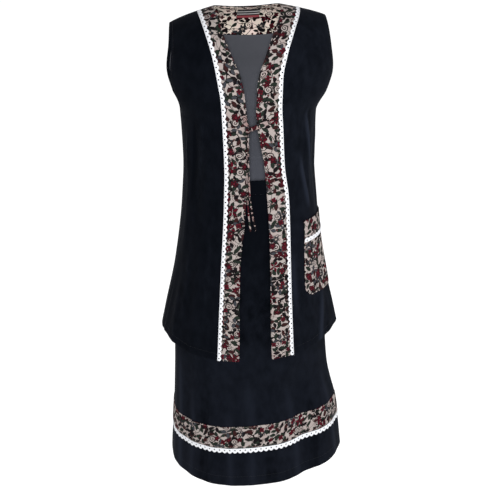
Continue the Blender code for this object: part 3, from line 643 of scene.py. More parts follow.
def back_panel():
    """The vest's back, from the wearer's right armhole to the left one, columns on the neck points."""
    top_edge = angle_at(ARMHOLE[0][2], ARMHOLE[0][0])
    neck = angle_at(NECK_HALF_WIDTH, 0.0)
    neck_share = (90.0 - neck) / (90.0 - top_edge)
    half = np.concatenate([
        np.linspace(0.0, neck_share, BACK_NECK_COLUMNS + 1),
        np.linspace(neck_share, 1.0, BACK_SIDE_COLUMNS + 1)[1:],
    ])
    share = np.concatenate([-half[:0:-1], half])
    beyond = np.clip((np.abs(share) - neck_share) / (1.0 - neck_share), 0.0, 1.0)
    inside = np.clip(np.abs(share) / neck_share, 0.0, 1.0)
    line = np.where(share < 0, SHOULDER_TIP_RIGHT, SHOULDER_TIP_LEFT) * beyond
    neck_drop = BACK_NECK_DROP * (1.0 - inside ** 2)
    rows = []
    for row in range(LOWER_ROWS + 1):
        angle = 270.0 + share * 90.0
        hem = vest_hem_height(angle)
        height = hem + (ARMPIT_HEIGHT - hem) * row / LOWER_ROWS
        rows.append((angle, height, np.full(len(share), SHOULDER_RADIUS)))
    for share_down in upper_shares():
        skew = 4.0 * share_down * (1.0 - share_down)
        drop = neck_drop + share_down * (line - neck_drop - ARMPIT_HEIGHT) + BACK_SKEW * skew * share
        height = line - drop
        angle = 270.0 + share * (90.0 - armhole_angle(2, height[0]))
        rows.append((angle, height, drop))
    return Panel(vest_surface, rows)


def skirt_panel(start, end):
    """Half of the skirt with its waistband above."""
    angle = np.linspace(start, end, SKIRT_COLUMNS + 1)
    across, deep = np.cos(np.radians(angle)), np.sin(np.radians(angle))
    hem = SKIRT_HEM + SKIRT_HEM_TILT * across
    seam = SKIRT_TOP - WAISTBAND_HEIGHT - WAIST_BACK_DIP * (0.5 - 0.5 * deep)
    heights = [hem + (seam - hem) * share for share in np.linspace(0.0, 1.0, SKIRT_ROWS + 1)]
    heights += [seam + WAISTBAND_HEIGHT * k / WAISTBAND_ROWS for k in range(1, WAISTBAND_ROWS + 1)]
    drop = np.full(len(angle), SHOULDER_RADIUS)
    return Panel(skirt_surface, [(angle, height, drop) for height in heights])


# Colours as red, green and blue. Velvet: dark pile, lighter mottling, the painted highlight on ridges of
# creases and on lit parts, sheen
VELVET_COLOUR = (0.0006, 0.0011, 0.0024)
VELVET_LIGHT = (0.0031, 0.0041, 0.0069)
VELVET_PAINTED_HIGHLIGHT = (0.0085, 0.0107, 0.0172)
VELVET_SHEEN = (0.55, 0.62, 0.85)

# Printed cloth: grounds of the trims, the facing and the ties, leaves shown on the last two, and motifs
GROUND = (0.300, 0.268, 0.252)
GROUND_WARM = (0.285, 0.235, 0.224)
GROUND_CREAM = (0.78, 0.70, 0.60)
GROUND_PALE = (0.82, 0.66, 0.60)
FACING_LEAFINESS = 0.42
TIE_GROUND = (0.200, 0.120, 0.115)
TIE_LEAFINESS = 1.05
OUTLINE = (0.006, 0.0048, 0.0055)
DARK_RED = (0.060, 0.004, 0.009)
BRIGHT_RED = (0.120, 0.007, 0.016)
GREEN = (0.012, 0.017, 0.013)
BROWN = (0.026, 0.009, 0.009)
BLUE_GREY = (0.032, 0.034, 0.040)
CREAM = (0.40, 0.34, 0.30)

# Lining: its two colours, and the heights between which its painted light and shade take it from one share of
# them to the other, painted shade near the neck and painted light lower down
LINING_DARK = (0.068, 0.072, 0.089)
LINING_LIGHT = (0.085, 0.090, 0.111)
LINING_PAINTED_LIGHT_HEIGHTS = (-0.15, -0.48)
LINING_PAINTED_LIGHT_AND_SHADE = (0.66, 1.62)

# Lace, threads and floor
LACE_WHITE = (0.74, 0.75, 0.77)
LACE_SHADE = (0.42, 0.43, 0.47)
THREAD_DARK = (0.0030, 0.0036, 0.0060)
THREAD_LIGHT = (0.55, 0.50, 0.46)
THREAD_SHADE = 0.7
FLOOR_COLOUR = (0.97, 0.97, 0.97)
FLOOR_SHADE = 0.985

# Label: its cloth and thread, and its stripes from the lower edge up, as bottom, top and colour
LABEL_DARK = (0.020, 0.018, 0.020)
LABEL_THREAD = (0.032, 0.029, 0.031)
LABEL_STRIPE = (0.66, 0.64, 0.63)
LABEL_RED = (0.30, 0.050, 0.062)
LABEL_STRIPES = (
    (0.0015, 0.0095, LABEL_RED),
    (0.0150, 0.0182, LABEL_STRIPE),
    (0.0262, 0.0300, LABEL_STRIPE),
)

# Motifs of the print in millimetres: how far they wander from their cells' lines
PRINT_WANDER = 7.0

# Stems: scale and offset of the noise whose contour line each follows, and how near to the line it reaches
STEMS = ((0.024, (21.6, 31.0, 0.0)), (0.036, (32.4, 31.0, 0.0)))
STEM_HALF = 0.009

# Leaves: cell, offset, leaves in a sprig, way out, half length, half width, two colours, share of cells
LEAVES = (
    (17.0, (130.0, 40.0, 0.0), 1, 0.0, 9.0, 4.4, OUTLINE, GREEN, 0.95),
    (22.0, (90.0, 810.0, 0.0), 1, 0.0, 10.5, 4.9, GREEN, BROWN, 0.90),
    (34.0, (610.0, 370.0, 0.0), 3, 8.8, 8.4, 4.5, OUTLINE, BLUE_GREY, 0.60),
    (40.0, (15.0, 155.0, 0.0), 5, 8.6, 7.6, 3.3, DARK_RED, OUTLINE, 0.40),
)
LEAF_EDGE = 0.8

# Flowers: cell, offset, radius, petals, colours of the petals and the heart, share of cells
FLOWERS = (
    (37.0, (420.0, 220.0, 0.0), 11.0, 5.0, DARK_RED, BRIGHT_RED, 0.62),
    (45.0, (770.0, 95.0, 0.0), 11.0, 6.0, BLUE_GREY, CREAM, 0.32),
    (33.0, (35.0, 555.0, 0.0), 8.6, 4.0, BRIGHT_RED, DARK_RED, 0.42),
)

# Shares of a flower's size: the least size, the notch between petals, where the petals' colour comes up
LEAST_FLOWER = 0.72
PETAL_NOTCH = 0.46
PETAL_SHADE = (0.30, 0.9)

# Shares of the way out to a petal's edge where its parts end or start, and the half width of its vein
PETAL_BODY = 0.87
VEIN_START = 0.45
VEIN_HALF = 0.26
FLOWER_RING = 0.42
FLOWER_HEART = 0.31
FLOWER_DOT = 0.14

# Curls and rings: cell, offset, outer and inner radius, share of cells; then the line wound in a curl
CURLS = (39.0, (310.0, 470.0, 0.0), 9.6, 8.2, 0.45)
RINGS = (14.0, (250.0, 640.0, 0.0), 2.7, 1.4, 0.22)
CURL_PITCH = 5.2
CURL_LINE = 0.40

# Grain of the cloths: scale and detail of noises, depth and strength of reliefs, pitch of weaves in metres
CLOUD_STRETCH = (1.0, 1.0, 0.55)
VELVET_CLOUD = (66.0, 4.0)
VELVET_PATCH = (13.0, 3.0)
VELVET_NAP = (520.0, 3.0)
VELVET_PILE = (2600.0, 2.0)
NAP_RELIEF = (0.0004, 0.5)
PILE_RELIEF = (0.00015, 0.5)
PRINT_WEAVE = 0.00055
PRINT_RELIEF = (0.00012, 0.6)
SLUB_NOISE = (1.6, 3.0)
SLUB_RELIEF = (0.0003, 0.3)
TWIST_PITCH = 0.0011
TWIST_RELIEF = (0.00015, 0.6)
FUZZ_RELIEF = (0.0002, 0.4)
LINING_WEAVE = 0.0005
LINING_RELIEF = (0.0001, 0.5)
CLOUD_RELIEF = (0.004, 0.25)
LABEL_WEAVE = 0.0004
LABEL_RELIEF = (0.0001, 0.6)
THREAD_RELIEF = (0.0001, 0.5)

# The span that most values of a noise lie in
NOISE_SPAN = (0.3, 0.7)


class Shader:
    """One material's nodes; most of its methods add a node and give back its output."""

    def __init__(self, name):
        self.made = bpy.data.materials.new(name)
        self.made.use_nodes = True
        self.tree = self.made.node_tree
        self.surface = self.tree.nodes["Principled BSDF"]

    def put(self, socket, value):
        """Links an output to a socket, or sets its constant."""
        if isinstance(value, bpy.types.NodeSocket):
            self.tree.links.new(value, socket)
        elif isinstance(value, tuple) and len(value) == 3 and socket.type == "RGBA":
            socket.default_value = (*value, 1.0)
        else:
            socket.default_value = value

    def node(self, kind, inputs, **settings):
        made = self.tree.nodes.new(kind)
        for key, value in settings.items():
            setattr(made, key, value)
        for key, value in inputs.items():
            self.put(made.inputs[key], value)
        return made

    def finish(self, **values):
        """Sets the surface's inputs, whose names are given with underscores for spaces."""
        for key, value in values.items():
            self.put(self.surface.inputs[key.replace("_", " ")], value)
        return self.made

    def math(self, operation, *values):
        return self.node("ShaderNodeMath", dict(enumerate(values)), operation=operation).outputs[0]

    def vector(self, operation, *values):
        return self.node("ShaderNodeVectorMath", dict(enumerate(values)), operation=operation).outputs[0]

    def scaled(self, vector, size):
        return self.node("ShaderNodeVectorMath", {0: vector, "Scale": size}, operation="SCALE").outputs[0]

    def parts(self, vector):
        return self.node("ShaderNodeSeparateXYZ", {0: vector}).outputs

    def both(self, one, two):
        return self.math("MULTIPLY", one, two)

    def below(self, value, limit):
        return self.math("LESS_THAN", value, limit)

    def above(self, value, limit):
        return self.math("GREATER_THAN", value, limit)

    def total(self, *pairs):
        """The sum of values, each times its own share."""
        found, *others = (self.both(value, share) for value, share in pairs)
        for other in others:
            found = self.math("ADD", found, other)
        return found

    def mix(self, factor, under, over):
        return self.node("ShaderNodeMix", {0: factor, 6: under, 7: over}, data_type="RGBA").outputs[2]

    def painted(self, colour, *layers):
        """A colour with others laid over it, each where its mask is 1."""
        for mask, over in layers:
            colour = self.mix(mask, colour, over)
        return colour

    def span(self, value, low, high, start=0.0, end=1.0):
        """A value's way from low to high as a way from start to end, kept between them."""
        inputs = dict(enumerate((value, low, high, start, end)))
        return self.node("ShaderNodeMapRange", inputs, clamp=True).outputs[0]

    def noise(self, place, scale, detail=2.0):
        return self.node("ShaderNodeTexNoise", {"Vector": place, "Scale": scale, "Detail": detail}).outputs[0]

    def relief(self, *layers):
        """Heights laid over one another, each with its depth and strength, as a surface direction."""
        normal = {}
        for height, depth, strength in layers:
            inputs = {"Height": height, "Distance": depth, "Strength": strength, **normal}
            normal = {"Normal": self.node("ShaderNodeBump", inputs).outputs[0]}
        return normal["Normal"]

    def cloth_place(self):
        """Place on the cloth in metres, from its flat layout."""
        return self.node("ShaderNodeTexCoord", {}).outputs["UV"]

    def object_place(self):
        """Place in the part's frame in metres."""
        return self.node("ShaderNodeTexCoord", {}).outputs["Object"]

    def weave(self, place, pitch):
        """Height of a plain weave of threads a pitch apart."""
        x, y, _ = self.parts(self.scaled(place, math.pi / pitch))
        return self.math("ABSOLUTE", self.both(self.math("SINE", x), self.math("SINE", y)))

    def cells(self, place, size, offset, scatter=0.75):
        """Cells about size apart: the place in each cell's own turned frame, and its random values."""
        moved = self.vector("ADD", place, offset)
        inputs = {"Vector": moved, "Scale": 1.0 / size, "Randomness": scatter}
        found = self.node("ShaderNodeTexVoronoi", inputs, voronoi_dimensions="2D")
        local = self.vector("SUBTRACT", moved, found.outputs["Position"])
        one, two, three = self.node("ShaderNodeSeparateColor", {0: found.outputs["Color"]}).outputs
        inputs = {"Vector": local, "Angle": self.both(one, math.tau)}
        turned = self.node("ShaderNodeVectorRotate", inputs, rotation_type="Z_AXIS")
        return self.parts(turned.outputs[0])[:2], two, three

    def polar(self, x, y):
        """Distance from the middle and the turn round it."""
        far = self.math("SQRT", self.math("ADD", self.both(x, x), self.both(y, y)))
        return far, self.math("ARCTAN2", y, x)

    def rounds(self, place, size, offset, outer, inner, share):
        """Rounds in a share of the cells: distance and turn in each, a random value, outer and inner mask."""
        (x, y), two, three = self.cells(place, size, offset)
        far, turn = self.polar(x, y)
        shown = self.below(two, share)
        masks = [self.both(self.below(far, radius), shown) for radius in (outer, inner)]
        return far, turn, three, *masks


def velvet_material():
    """Near-black navy pile, mottled where it lies different ways, with painted highlights on the ridges of
    creases, painted shade in their hollows, and painted light and shade by side and height.
    """
    shader = Shader("velvet_look")
    place = shader.object_place()
    cloud = shader.noise(shader.vector("MULTIPLY", place, CLOUD_STRETCH), *VELVET_CLOUD)
    patch = shader.noise(place, *VELVET_PATCH)
    nap = shader.noise(place, *VELVET_NAP)
    pile = shader.noise(place, *VELVET_PILE)
    painted_light_and_shade = shader.node("ShaderNodeAttribute", {}, attribute_name="painted_light_and_shade").outputs["Fac"]
    tone = shader.span(shader.total((cloud, 0.75), (patch, 0.45), (nap, 0.30)), 0.58, 0.92)
    colour = shader.mix(tone, VELVET_COLOUR, VELVET_LIGHT)
    # Painted highlight where the attribute is high and painted shade, towards the dark pile, where it is low
    colour = shader.painted(colour, (shader.span(painted_light_and_shade, 0.25, 1.0), VELVET_PAINTED_HIGHLIGHT),
                            (shader.span(painted_light_and_shade, -0.2, -0.9), VELVET_COLOUR))
    return shader.finish(Base_Color=colour, Roughness=shader.span(nap, *NOISE_SPAN, 0.86, 1.0),
                         Specular_IOR_Level=0.04, Sheen_Weight=0.012, Sheen_Roughness=0.45,
                         Sheen_Tint=VELVET_SHEEN,
                         Normal=shader.relief((pile, *PILE_RELIEF), (nap, *NAP_RELIEF)))


def leaf_masks(shader, place, row, leafiness):
    """Masks of one kind of leaf with and without its edge, and its fill: a lens, alone or in a sprig."""
    size, offset, fan, middle, length, width, one_colour, other_colour, share = row
    (x, y), two, three = shader.cells(place, size, offset)
    if fan > 1:
        far, turn = shader.polar(x, y)
        sector = math.tau / fan
        folded = shader.math("SUBTRACT", shader.math("FLOORED_MODULO", turn, sector), sector / 2)
        x = shader.math("SUBTRACT", shader.both(far, shader.math("COSINE", folded)), middle)
        y = shader.both(far, shader.math("SINE", folded))
    reach = shader.math("DIVIDE", x, length)
    half = shader.both(shader.math("SUBTRACT", 1.0, shader.both(reach, reach)), width)
    gap = shader.math("SUBTRACT", half, shader.math("ABSOLUTE", y))
    shown = shader.below(two, share * leafiness)
    fill = shader.mix(shader.above(three, 0.5), one_colour, other_colour)
    return shader.both(shader.above(gap, 0.0), shown), shader.both(shader.above(gap, LEAF_EDGE), shown), fill


def with_flower(shader, colour, place, row):
    """A colour with one kind of flower on it: veined petals round a ringed heart."""
    size, offset, radius, petals, petal_colour, heart_colour, share = row
    (x, y), two, three = shader.cells(place, size, offset)
    far, turn = shader.polar(x, y)
    lobe = shader.math("ABSOLUTE", shader.math("COSINE", shader.both(turn, petals / 2.0)))
    edge = shader.both(shader.math("ADD", shader.both(lobe, PETAL_NOTCH), 1.0 - PETAL_NOTCH), radius)
    edge = shader.both(edge, shader.span(three, 0.0, 1.0, LEAST_FLOWER, 1.0))
    shown = shader.below(two, share)
    petal = shader.math("DIVIDE", far, edge)

    def within(limit):
        return shader.both(shader.below(petal, limit), shown)

    body = within(PETAL_BODY)
    vein = shader.both(shader.both(body, shader.below(lobe, VEIN_HALF)), shader.above(petal, VEIN_START))
    tone = shader.mix(shader.span(petal, *PETAL_SHADE), OUTLINE, petal_colour)
    return shader.painted(colour, (within(1.0), OUTLINE), (body, tone), (vein, OUTLINE),
                          (within(FLOWER_RING), OUTLINE), (within(FLOWER_HEART), heart_colour),
                          (within(FLOWER_DOT), OUTLINE))


def print_material(name, ground, ground_warm, leafiness=1.0):
    """Flowers, leaves, curls and rings in dark red, green and brown on a pale ground."""
    shader = Shader(name)
    place = shader.cloth_place()
    mm = shader.scaled(place, 1000.0)
    wander = shader.node("ShaderNodeTexNoise", {"Vector": mm, "Scale": 0.045, "Detail": 2.0},
                         noise_dimensions="2D")
    shift = shader.vector("SUBTRACT", wander.outputs["Color"], (0.5, 0.5, 0.5))
    bent = shader.vector("ADD", mm, shader.scaled(shift, PRINT_WANDER))
    colour = plain = shader.mix(shader.span(shader.noise(mm, 0.035), 0.35, 0.65), ground, ground_warm)

    # Stems, leaves, curls, flowers and rings, each over the ones before
    for scale, offset in STEMS:
        field = shader.noise(shader.vector("ADD", mm, offset), scale, 0.5)
        line = shader.below(shader.math("ABSOLUTE", shader.math("SUBTRACT", field, 0.5)), STEM_HALF)
        colour = shader.mix(line, colour, OUTLINE)
    for row in LEAVES:
        leaf, core, fill = leaf_masks(shader, bent, row, leafiness)
        colour = shader.painted(colour, (leaf, OUTLINE), (core, fill))
    far, turn, _, edge, inside = shader.rounds(bent, *CURLS)
    wound = shader.math("ADD", shader.math("DIVIDE", far, CURL_PITCH), shader.math("DIVIDE", turn, math.tau))
    line = shader.both(inside, shader.below(shader.math("FRACT", wound), CURL_LINE))
    colour = shader.painted(colour, (edge, OUTLINE), (inside, plain), (line, OUTLINE))
    for row in FLOWERS:
        colour = with_flower(shader, colour, bent, row)
    _, _, three, edge, inside = shader.rounds(mm, *RINGS)
    colour = shader.painted(colour, (edge, OUTLINE), (inside, shader.mix(three, CREAM, BRIGHT_RED)))

    # The cloth's own threads
    threads = shader.weave(place, PRINT_WEAVE)
    slub = shader.noise(mm, *SLUB_NOISE)
    shade = shader.math("ADD", shader.both(threads, 0.10), shader.span(slub, *NOISE_SPAN, 0.82, 0.98))
    return shader.finish(Base_Color=shader.scaled(colour, shade), Specular_IOR_Level=0.03,
                         Roughness=shader.span(slub, *NOISE_SPAN, 0.78, 0.92),
                         Normal=shader.relief((slub, *SLUB_RELIEF), (threads, *PRINT_RELIEF)))


def lace_material():
    """White twisted thread."""
    shader = Shader("lace_look")
    place = shader.cloth_place()
    across, up, _ = shader.parts(place)
    twist = shader.math("SINE", shader.both(shader.math("ADD", across, up), math.tau / TWIST_PITCH))
    fuzz = shader.noise(place, 1800.0, 3.0)
    tone = shader.total((shader.span(twist, -1.0, 1.0), 0.5), (fuzz, 0.6))
    colour = shader.mix(shader.span(tone, 0.25, 0.70), LACE_SHADE, LACE_WHITE)
    return shader.finish(Base_Color=colour, Roughness=shader.span(fuzz, *NOISE_SPAN, 0.62, 0.85),
                         Specular_IOR_Level=0.3, Sheen_Weight=0.1,
                         Normal=shader.relief((fuzz, *FUZZ_RELIEF), (twist, *TWIST_RELIEF)))


def lining_material():
    """Smooth grey cloth, with painted shade near the neck and painted light lower down."""
    shader = Shader("grey_lining_look")
    place = shader.cloth_place()
    threads = shader.weave(place, LINING_WEAVE)
    cloud = shader.noise(place, 14.0, 3.0)
    colour = shader.mix(shader.total((threads, 0.5), (cloud, 0.5)), LINING_DARK, LINING_LIGHT)
    _, _, height = shader.parts(shader.object_place())
    # Painted shade near the neck and painted light lower down
    colour = shader.scaled(colour, shader.span(height, *LINING_PAINTED_LIGHT_HEIGHTS, *LINING_PAINTED_LIGHT_AND_SHADE))
    return shader.finish(Base_Color=colour, Roughness=shader.span(cloud, *NOISE_SPAN, 0.52, 0.68),
                         Specular_IOR_Level=0.35, Sheen_Weight=0.04,
                         Normal=shader.relief((cloud, *CLOUD_RELIEF), (threads, *LINING_RELIEF)))


def label_material():
    """A plain dark woven tape with plain stripes."""
    shader = Shader("label_cloth_look")
    place = shader.cloth_place()
    _, up, _ = shader.parts(place)
    threads = shader.weave(place, LABEL_WEAVE)
    stripes = [(shader.both(shader.above(up, low), shader.below(up, high)), stripe)
               for low, high, stripe in LABEL_STRIPES]
    colour = shader.painted(shader.mix(threads, LABEL_DARK, LABEL_THREAD), *stripes)
    return shader.finish(Base_Color=colour, Roughness=shader.span(threads, 0.0, 1.0, 0.6, 0.8),
                         Specular_IOR_Level=0.3, Normal=shader.relief((threads, *LABEL_RELIEF)))


def thread_material(name, colour):
    """Sewing thread, a little uneven."""
    shader = Shader(name)
    fuzz = shader.noise(shader.object_place(), 3200.0)
    dark = tuple(THREAD_SHADE * part for part in colour)
    return shader.finish(Base_Color=shader.mix(fuzz, dark, colour), Roughness=0.7,
                         Normal=shader.relief((fuzz, *THREAD_RELIEF)))


def floor_material():
    """A pale floor that glows a little."""
    shader = Shader("floor_look")
    fuzz = shader.noise(shader.object_place(), 3.0)
    pale = tuple(FLOOR_SHADE * part for part in FLOOR_COLOUR)
    return shader.finish(Base_Color=shader.mix(fuzz, pale, FLOOR_COLOUR), Roughness=0.9,
                         Emission_Color=(1.0, 1.0, 1.0), Emission_Strength=FLOOR_GLOW)


def placed(name, data):
    """A new object in the scene."""
    built = bpy.data.objects.new(name, data)
    bpy.context.scene.collection.objects.link(built)
    return built


def add_mesh(name, points, faces, made_of, flat=None):
    """A smooth mesh that rides on the one body, with its flat layout in metres."""
    mesh = bpy.data.meshes.new(name)
    mesh.from_pydata(points.tolist(), [], faces)
    if flat is not None:
        corners = np.empty(len(mesh.loops), np.int32)
        mesh.loops.foreach_get("vertex_index", corners)
        layer = mesh.uv_layers.new(name="cloth")
        place = flat + CUT_PLACES.get(name, 0.0)
        layer.data.foreach_set("uv", place[corners].astype(np.float32).ravel())
    mesh.shade_smooth()
    built = placed(name, mesh)
    mesh.materials.append(made_of)
    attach(built, "root")
    return built


def flat_layout(points, from_column=0):
    """Distances across and along a grid of cloth, across from one column, along from the first row."""
    steps = np.linalg.norm(np.diff(points, axis=1), axis=-1)
    across = np.concatenate([np.zeros((len(points), 1)), np.cumsum(steps, axis=1)], axis=1)
    across = across - across[:, from_column][:, None]
    up = along(points[:, points.shape[1] // 2])
    return np.stack([across, np.broadcast_to(up[:, None], across.shape)], axis=-1)


def border(rows, columns):
    """Grid places round the border, one after another."""
    places = [(0, j) for j in range(columns)]
    places += [(i, columns - 1) for i in range(1, rows)]
    places += [(rows - 1, j) for j in range(columns - 2, -1, -1)]
    places += [(i, 0) for i in range(rows - 2, 0, -1)]
    return np.array(places).T


def cloth(name, points, out, outer, thick, made_of, flat=None, painted_light_and_shade=None):
    """A cloth with rounded edges on a grid, its outer face moved out by outer."""
    rows, columns = points.shape[:2]
    half = thick / 2.0
    i, j = border(rows, columns)
    away = np.zeros_like(points)
    away[0] += unit(points[0] - points[1])
    away[-1] += unit(points[-1] - points[-2])
    away[:, 0] += unit(points[:, 0] - points[:, 1])
    away[:, -1] += unit(points[:, -1] - points[:, -2])
    edge = unit(away[i, j])
    middle = points + out * (outer - half)
    middle[i, j] -= edge * half
    layers = [(middle + out * half).reshape(-1, 3), (middle - out * half).reshape(-1, 3)]
    for turn in np.radians(RIM_TURNS):
        layers.append(middle[i, j] + (out[i, j] * math.cos(turn) + edge * math.sin(turn)) * half)
    number = np.arange(rows * columns).reshape(rows, columns)
    under = rows * columns
    quads = np.stack([number[:-1, :-1], number[:-1, 1:], number[1:, 1:], number[1:, :-1]], axis=-1)
    quads = quads.reshape(-1, 4)
    loops = [number[i, j]] + [2 * under + k * len(i) + np.arange(len(i)) for k in range(len(RIM_TURNS))]
    loops.append(under + number[i, j])
    rims = [np.stack([np.roll(one, -1), one, two, np.roll(two, -1)], axis=-1)
            for one, two in zip(loops[:-1], loops[1:])]
    faces = np.concatenate([quads, quads[:, ::-1] + under] + rims)
    row, place = rows // 2, columns // 2
    here = points[row, place]
    facing = np.cross(here - points[row, place - 1], here - points[row - 1, place])
    if np.dot(facing, out[row, place]) < 0:
        faces = faces[:, ::-1]
    if flat is None:
        flat = flat_layout(points)
    ring_flat = np.tile(flat[i, j], (len(RIM_TURNS), 1))
    flat_all = np.concatenate([flat.reshape(-1, 2), flat.reshape(-1, 2), ring_flat])
    built = add_mesh(name, np.concatenate(layers), faces.tolist(), made_of, flat_all)
    # Painted light and shade for the velvet's colour, kept on the outer face's points
    if painted_light_and_shade is not None:
        edges = np.tile(painted_light_and_shade[i, j], len(RIM_TURNS))
        values = np.concatenate([painted_light_and_shade.ravel(), np.zeros(rows * columns), edges])
        built.data.attributes.new("painted_light_and_shade", "FLOAT", "POINT").data.foreach_set("value", values)
    built["flat_size"] = [float(np.ptp(flat[..., 0])), float(np.ptp(flat[..., 1]))]
    sides = [points[:-1, 1:] - points[:-1, :-1], points[1:, :-1] - points[:-1, :-1]]
    built["flat_area"] = float(np.linalg.norm(np.cross(*sides), axis=-1).sum())
    return built


def declare(piece, node):
    """Hides the solid that a cloth stands for."""
    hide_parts(node)


def ring_faces(number):
    """Faces between closed rings of points, one ring to each row of their numbers."""
    turned = np.roll(number, -1, axis=1)
    return np.stack([number[:-1], turned[:-1], turned[1:], number[1:]], axis=-1).reshape(-1, 4)


class Sewing:
    """Collects stitches, then makes them as one mesh."""

    def __init__(self):
        self.points, self.faces, self.count = [], [], 0

    def row(self, points, out, off):
        """Stitches along a line of points, lying a distance off the cloth."""
        points = points + out * off
        way = along(points)
        count = int(way[-1] / STITCH_PITCH)
        starts = (np.arange(count) + 0.5) * way[-1] / count - STITCH_LENGTH / 2
        spots = []
        for share, lift, half in STITCH_RINGS:
            at = np.clip(starts + share * STITCH_LENGTH, 0.0, way[-1])
            spot = np.stack([np.interp(at, way, points[:, k]) for k in range(3)], axis=-1)
            face = unit(np.stack([np.interp(at, way, out[:, k]) for k in range(3)], axis=-1))
            spots.append((spot + face * lift, face, half * STITCH_HALF))
        run = unit(spots[-1][0] - spots[0][0])
        corners = []
        for spot, face, half in spots:
            side = np.cross(run, face)
            corners += [spot + (side * across + face * up) * half for across, up in STITCH_CORNERS]
        number = np.arange(len(corners)).reshape(len(spots), len(STITCH_CORNERS))
        faces = np.concatenate([ring_faces(number), number[:1, ::-1], number[-1:]])
        starts = self.count + len(corners) * np.arange(count)
        self.faces.append((starts + faces[:, :, None]).transpose(0, 2, 1).reshape(-1, 4))
        self.points.append(np.stack(corners, axis=1).reshape(-1, 3))
        self.count += len(corners) * count

    def make(self, name, made_of):
        return add_mesh(name, np.concatenate(self.points), np.concatenate(self.faces).tolist(), made_of)


def lace(name, spot, length, reach, made_of):
    """Scalloped lace with a stitched eyelet in each scallop.

    spot gives points and directions for distances along the line and across it.
    """
    low, high, scallop = reach
    count = int(round(length / LACE_PITCH))
    pitch = length / count
    side = np.linspace(0.0, 1.0, LACE_SIDE_STEPS + 1)[:-1]
    top = np.linspace(1.0, 0.0, LACE_TOP_STEPS + 1)[:-1]
    bottom = np.linspace(0.0, 1.0, LACE_BOTTOM_STEPS + 1)[:-1]
    cusp = high - scallop
    outline = [(share, low) for share in bottom]
    outline += [(1.0, low + (cusp - low) * share) for share in side]
    outline += [(share, cusp + scallop * math.sin(math.pi * share)) for share in top]
    outline += [(0.0, cusp + (low - cusp) * share) for share in side]
    outline = np.array(outline)
    centre = np.array([0.5 * pitch, (low + high) / 2 + EYELET_PLACE * (high - low)])
    edge = outline * np.array([pitch, 1.0]) - centre
    turn = np.arctan2(edge[:, 1], edge[:, 0])
    hole = np.stack([np.cos(turn), np.sin(turn)], axis=-1) * EYELET_RADIUS
    local = np.array([hole + (edge - hole) * share for share, _ in LACE_RINGS]) + centre
    lift = np.array([np.full(len(edge), rise) for _, rise in LACE_RINGS])
    number = np.arange(lift.size).reshape(lift.shape)
    one = ring_faces(number)
    starts = pitch * np.arange(count)
    distance = (local[None, ..., 0] + starts[:, None, None]).reshape(-1)
    across = np.tile(local[..., 1].reshape(-1), count)
    points, out = spot(distance, across)
    points = points + out * (LACE_OFF + np.tile(lift.reshape(-1), count))[:, None]
    faces = (one[None] + (number.size * np.arange(count))[:, None, None]).reshape(-1, 4)
    sheet = add_mesh(name + "_flat", points, faces.tolist(), made_of, np.stack([across, distance], axis=-1))
    work = bmesh.new()
    work.from_mesh(sheet.data)
    bmesh.ops.remove_doubles(work, verts=work.verts, dist=LACE_JOIN)
    bmesh.ops.recalc_face_normals(work, faces=work.faces)
    work.to_mesh(sheet.data)
    work.free()
    thicken = sheet.modifiers.new("thick", "SOLIDIFY")
    thicken.thickness = LACE_THICK
    thicken.offset = 0.0
    settled = bpy.data.meshes.new_from_object(sheet.evaluated_get(bpy.context.evaluated_depsgraph_get()))
    settled.name = name
    sheet.modifiers.clear()
    sheet.data = settled
    sheet.name = name
    sheet["flat_size"] = [high - low, float(length)]
    sheet["flat_area"] = sum(face.area for face in settled.polygons) / 2.0
    return sheet


def on_front(route):
    """Points off the vest's front, x from the centre, and the outward directions there."""
    spots, faces = [], []
    for x, height, off in route:
        angle = float(angle_at(abs(x), height))
        point, out = face_of(vest_surface, np.array([180.0 - angle if x < 0 else angle]),
                             np.array([height]), np.array([-height]))
        spots.append(point[0] + out[0] * off)
        faces.append(out[0])
    return np.array(spots), np.array(faces)


def smooth_route(route, steps):
    """A smooth curve through a route, steps to each of its stretches."""
    knots = np.arange(len(route), dtype=float)
    at = np.linspace(0.0, knots[-1], steps * (len(route) - 1) + 1)
    return list(zip(*(column([(k, row[n]) for k, row in zip(knots, route)], 1, at) for n in range(3))))


def strip(name, line, face, widths, thick, made_of):
    """A flat soft strip swept along a line, lying flat to the cloth, its section a flattened round."""
    run = unit(np.gradient(line, axis=0))
    side = unit(np.cross(run, face))
    face = np.cross(side, run)
    turns = np.linspace(0.0, 2 * math.pi, STRIP_SIDES + 1)[:-1]
    wide = np.sign(np.cos(turns)) * np.abs(np.cos(turns)) ** STRIP_SQUARENESS
    deep = np.sin(turns)
    way = along(line)
    pucker = 1.0
    for pitch, share in STRIP_WAVES:
        pucker = pucker + share * np.sin(way * 2 * math.pi / pitch)
    half = np.asarray(widths)[:, None] / 2
    rings = (line[:, None] + side[:, None] * (wide * half)[..., None]
             + face[:, None] * (deep * pucker[:, None] * thick / 2)[..., None])
    count = len(line)
    number = np.arange(count * STRIP_SIDES).reshape(count, STRIP_SIDES)
    faces = ring_faces(number).tolist() + [number[0, ::-1].tolist(), number[-1].tolist()]
    flat = np.stack([np.broadcast_to(wide * half, (count, STRIP_SIDES)),
                     np.broadcast_to(way[:, None], (count, STRIP_SIDES))], axis=-1)
    return add_mesh(name, rings.reshape(-1, 3), faces, made_of, flat.reshape(-1, 2))


def tie(name, strap, end, made_of):
    """One tie: from its seam on the band to the knot and on to its hanging end."""
    route = smooth_route(strap + (KNOT_PLACE,) + end, ROUTE_STEPS)
    line, face = on_front(route)
    way = along(line)
    knot = way[ROUTE_STEPS * len(strap)]
    places = [knot - KNOT_REACH, knot, knot + KNOT_REACH]
    widths = np.interp(way, places, [STRAP_WIDTH, KNOT_PINCH, TIE_END_WIDTH])
    pitch, share = TIE_WAVE
    widths = widths * (1.0 + share * np.sin(way * 2 * math.pi / pitch))
    return strip(name, line, face, widths, TIE_THICK, made_of), line, float(way[-1])


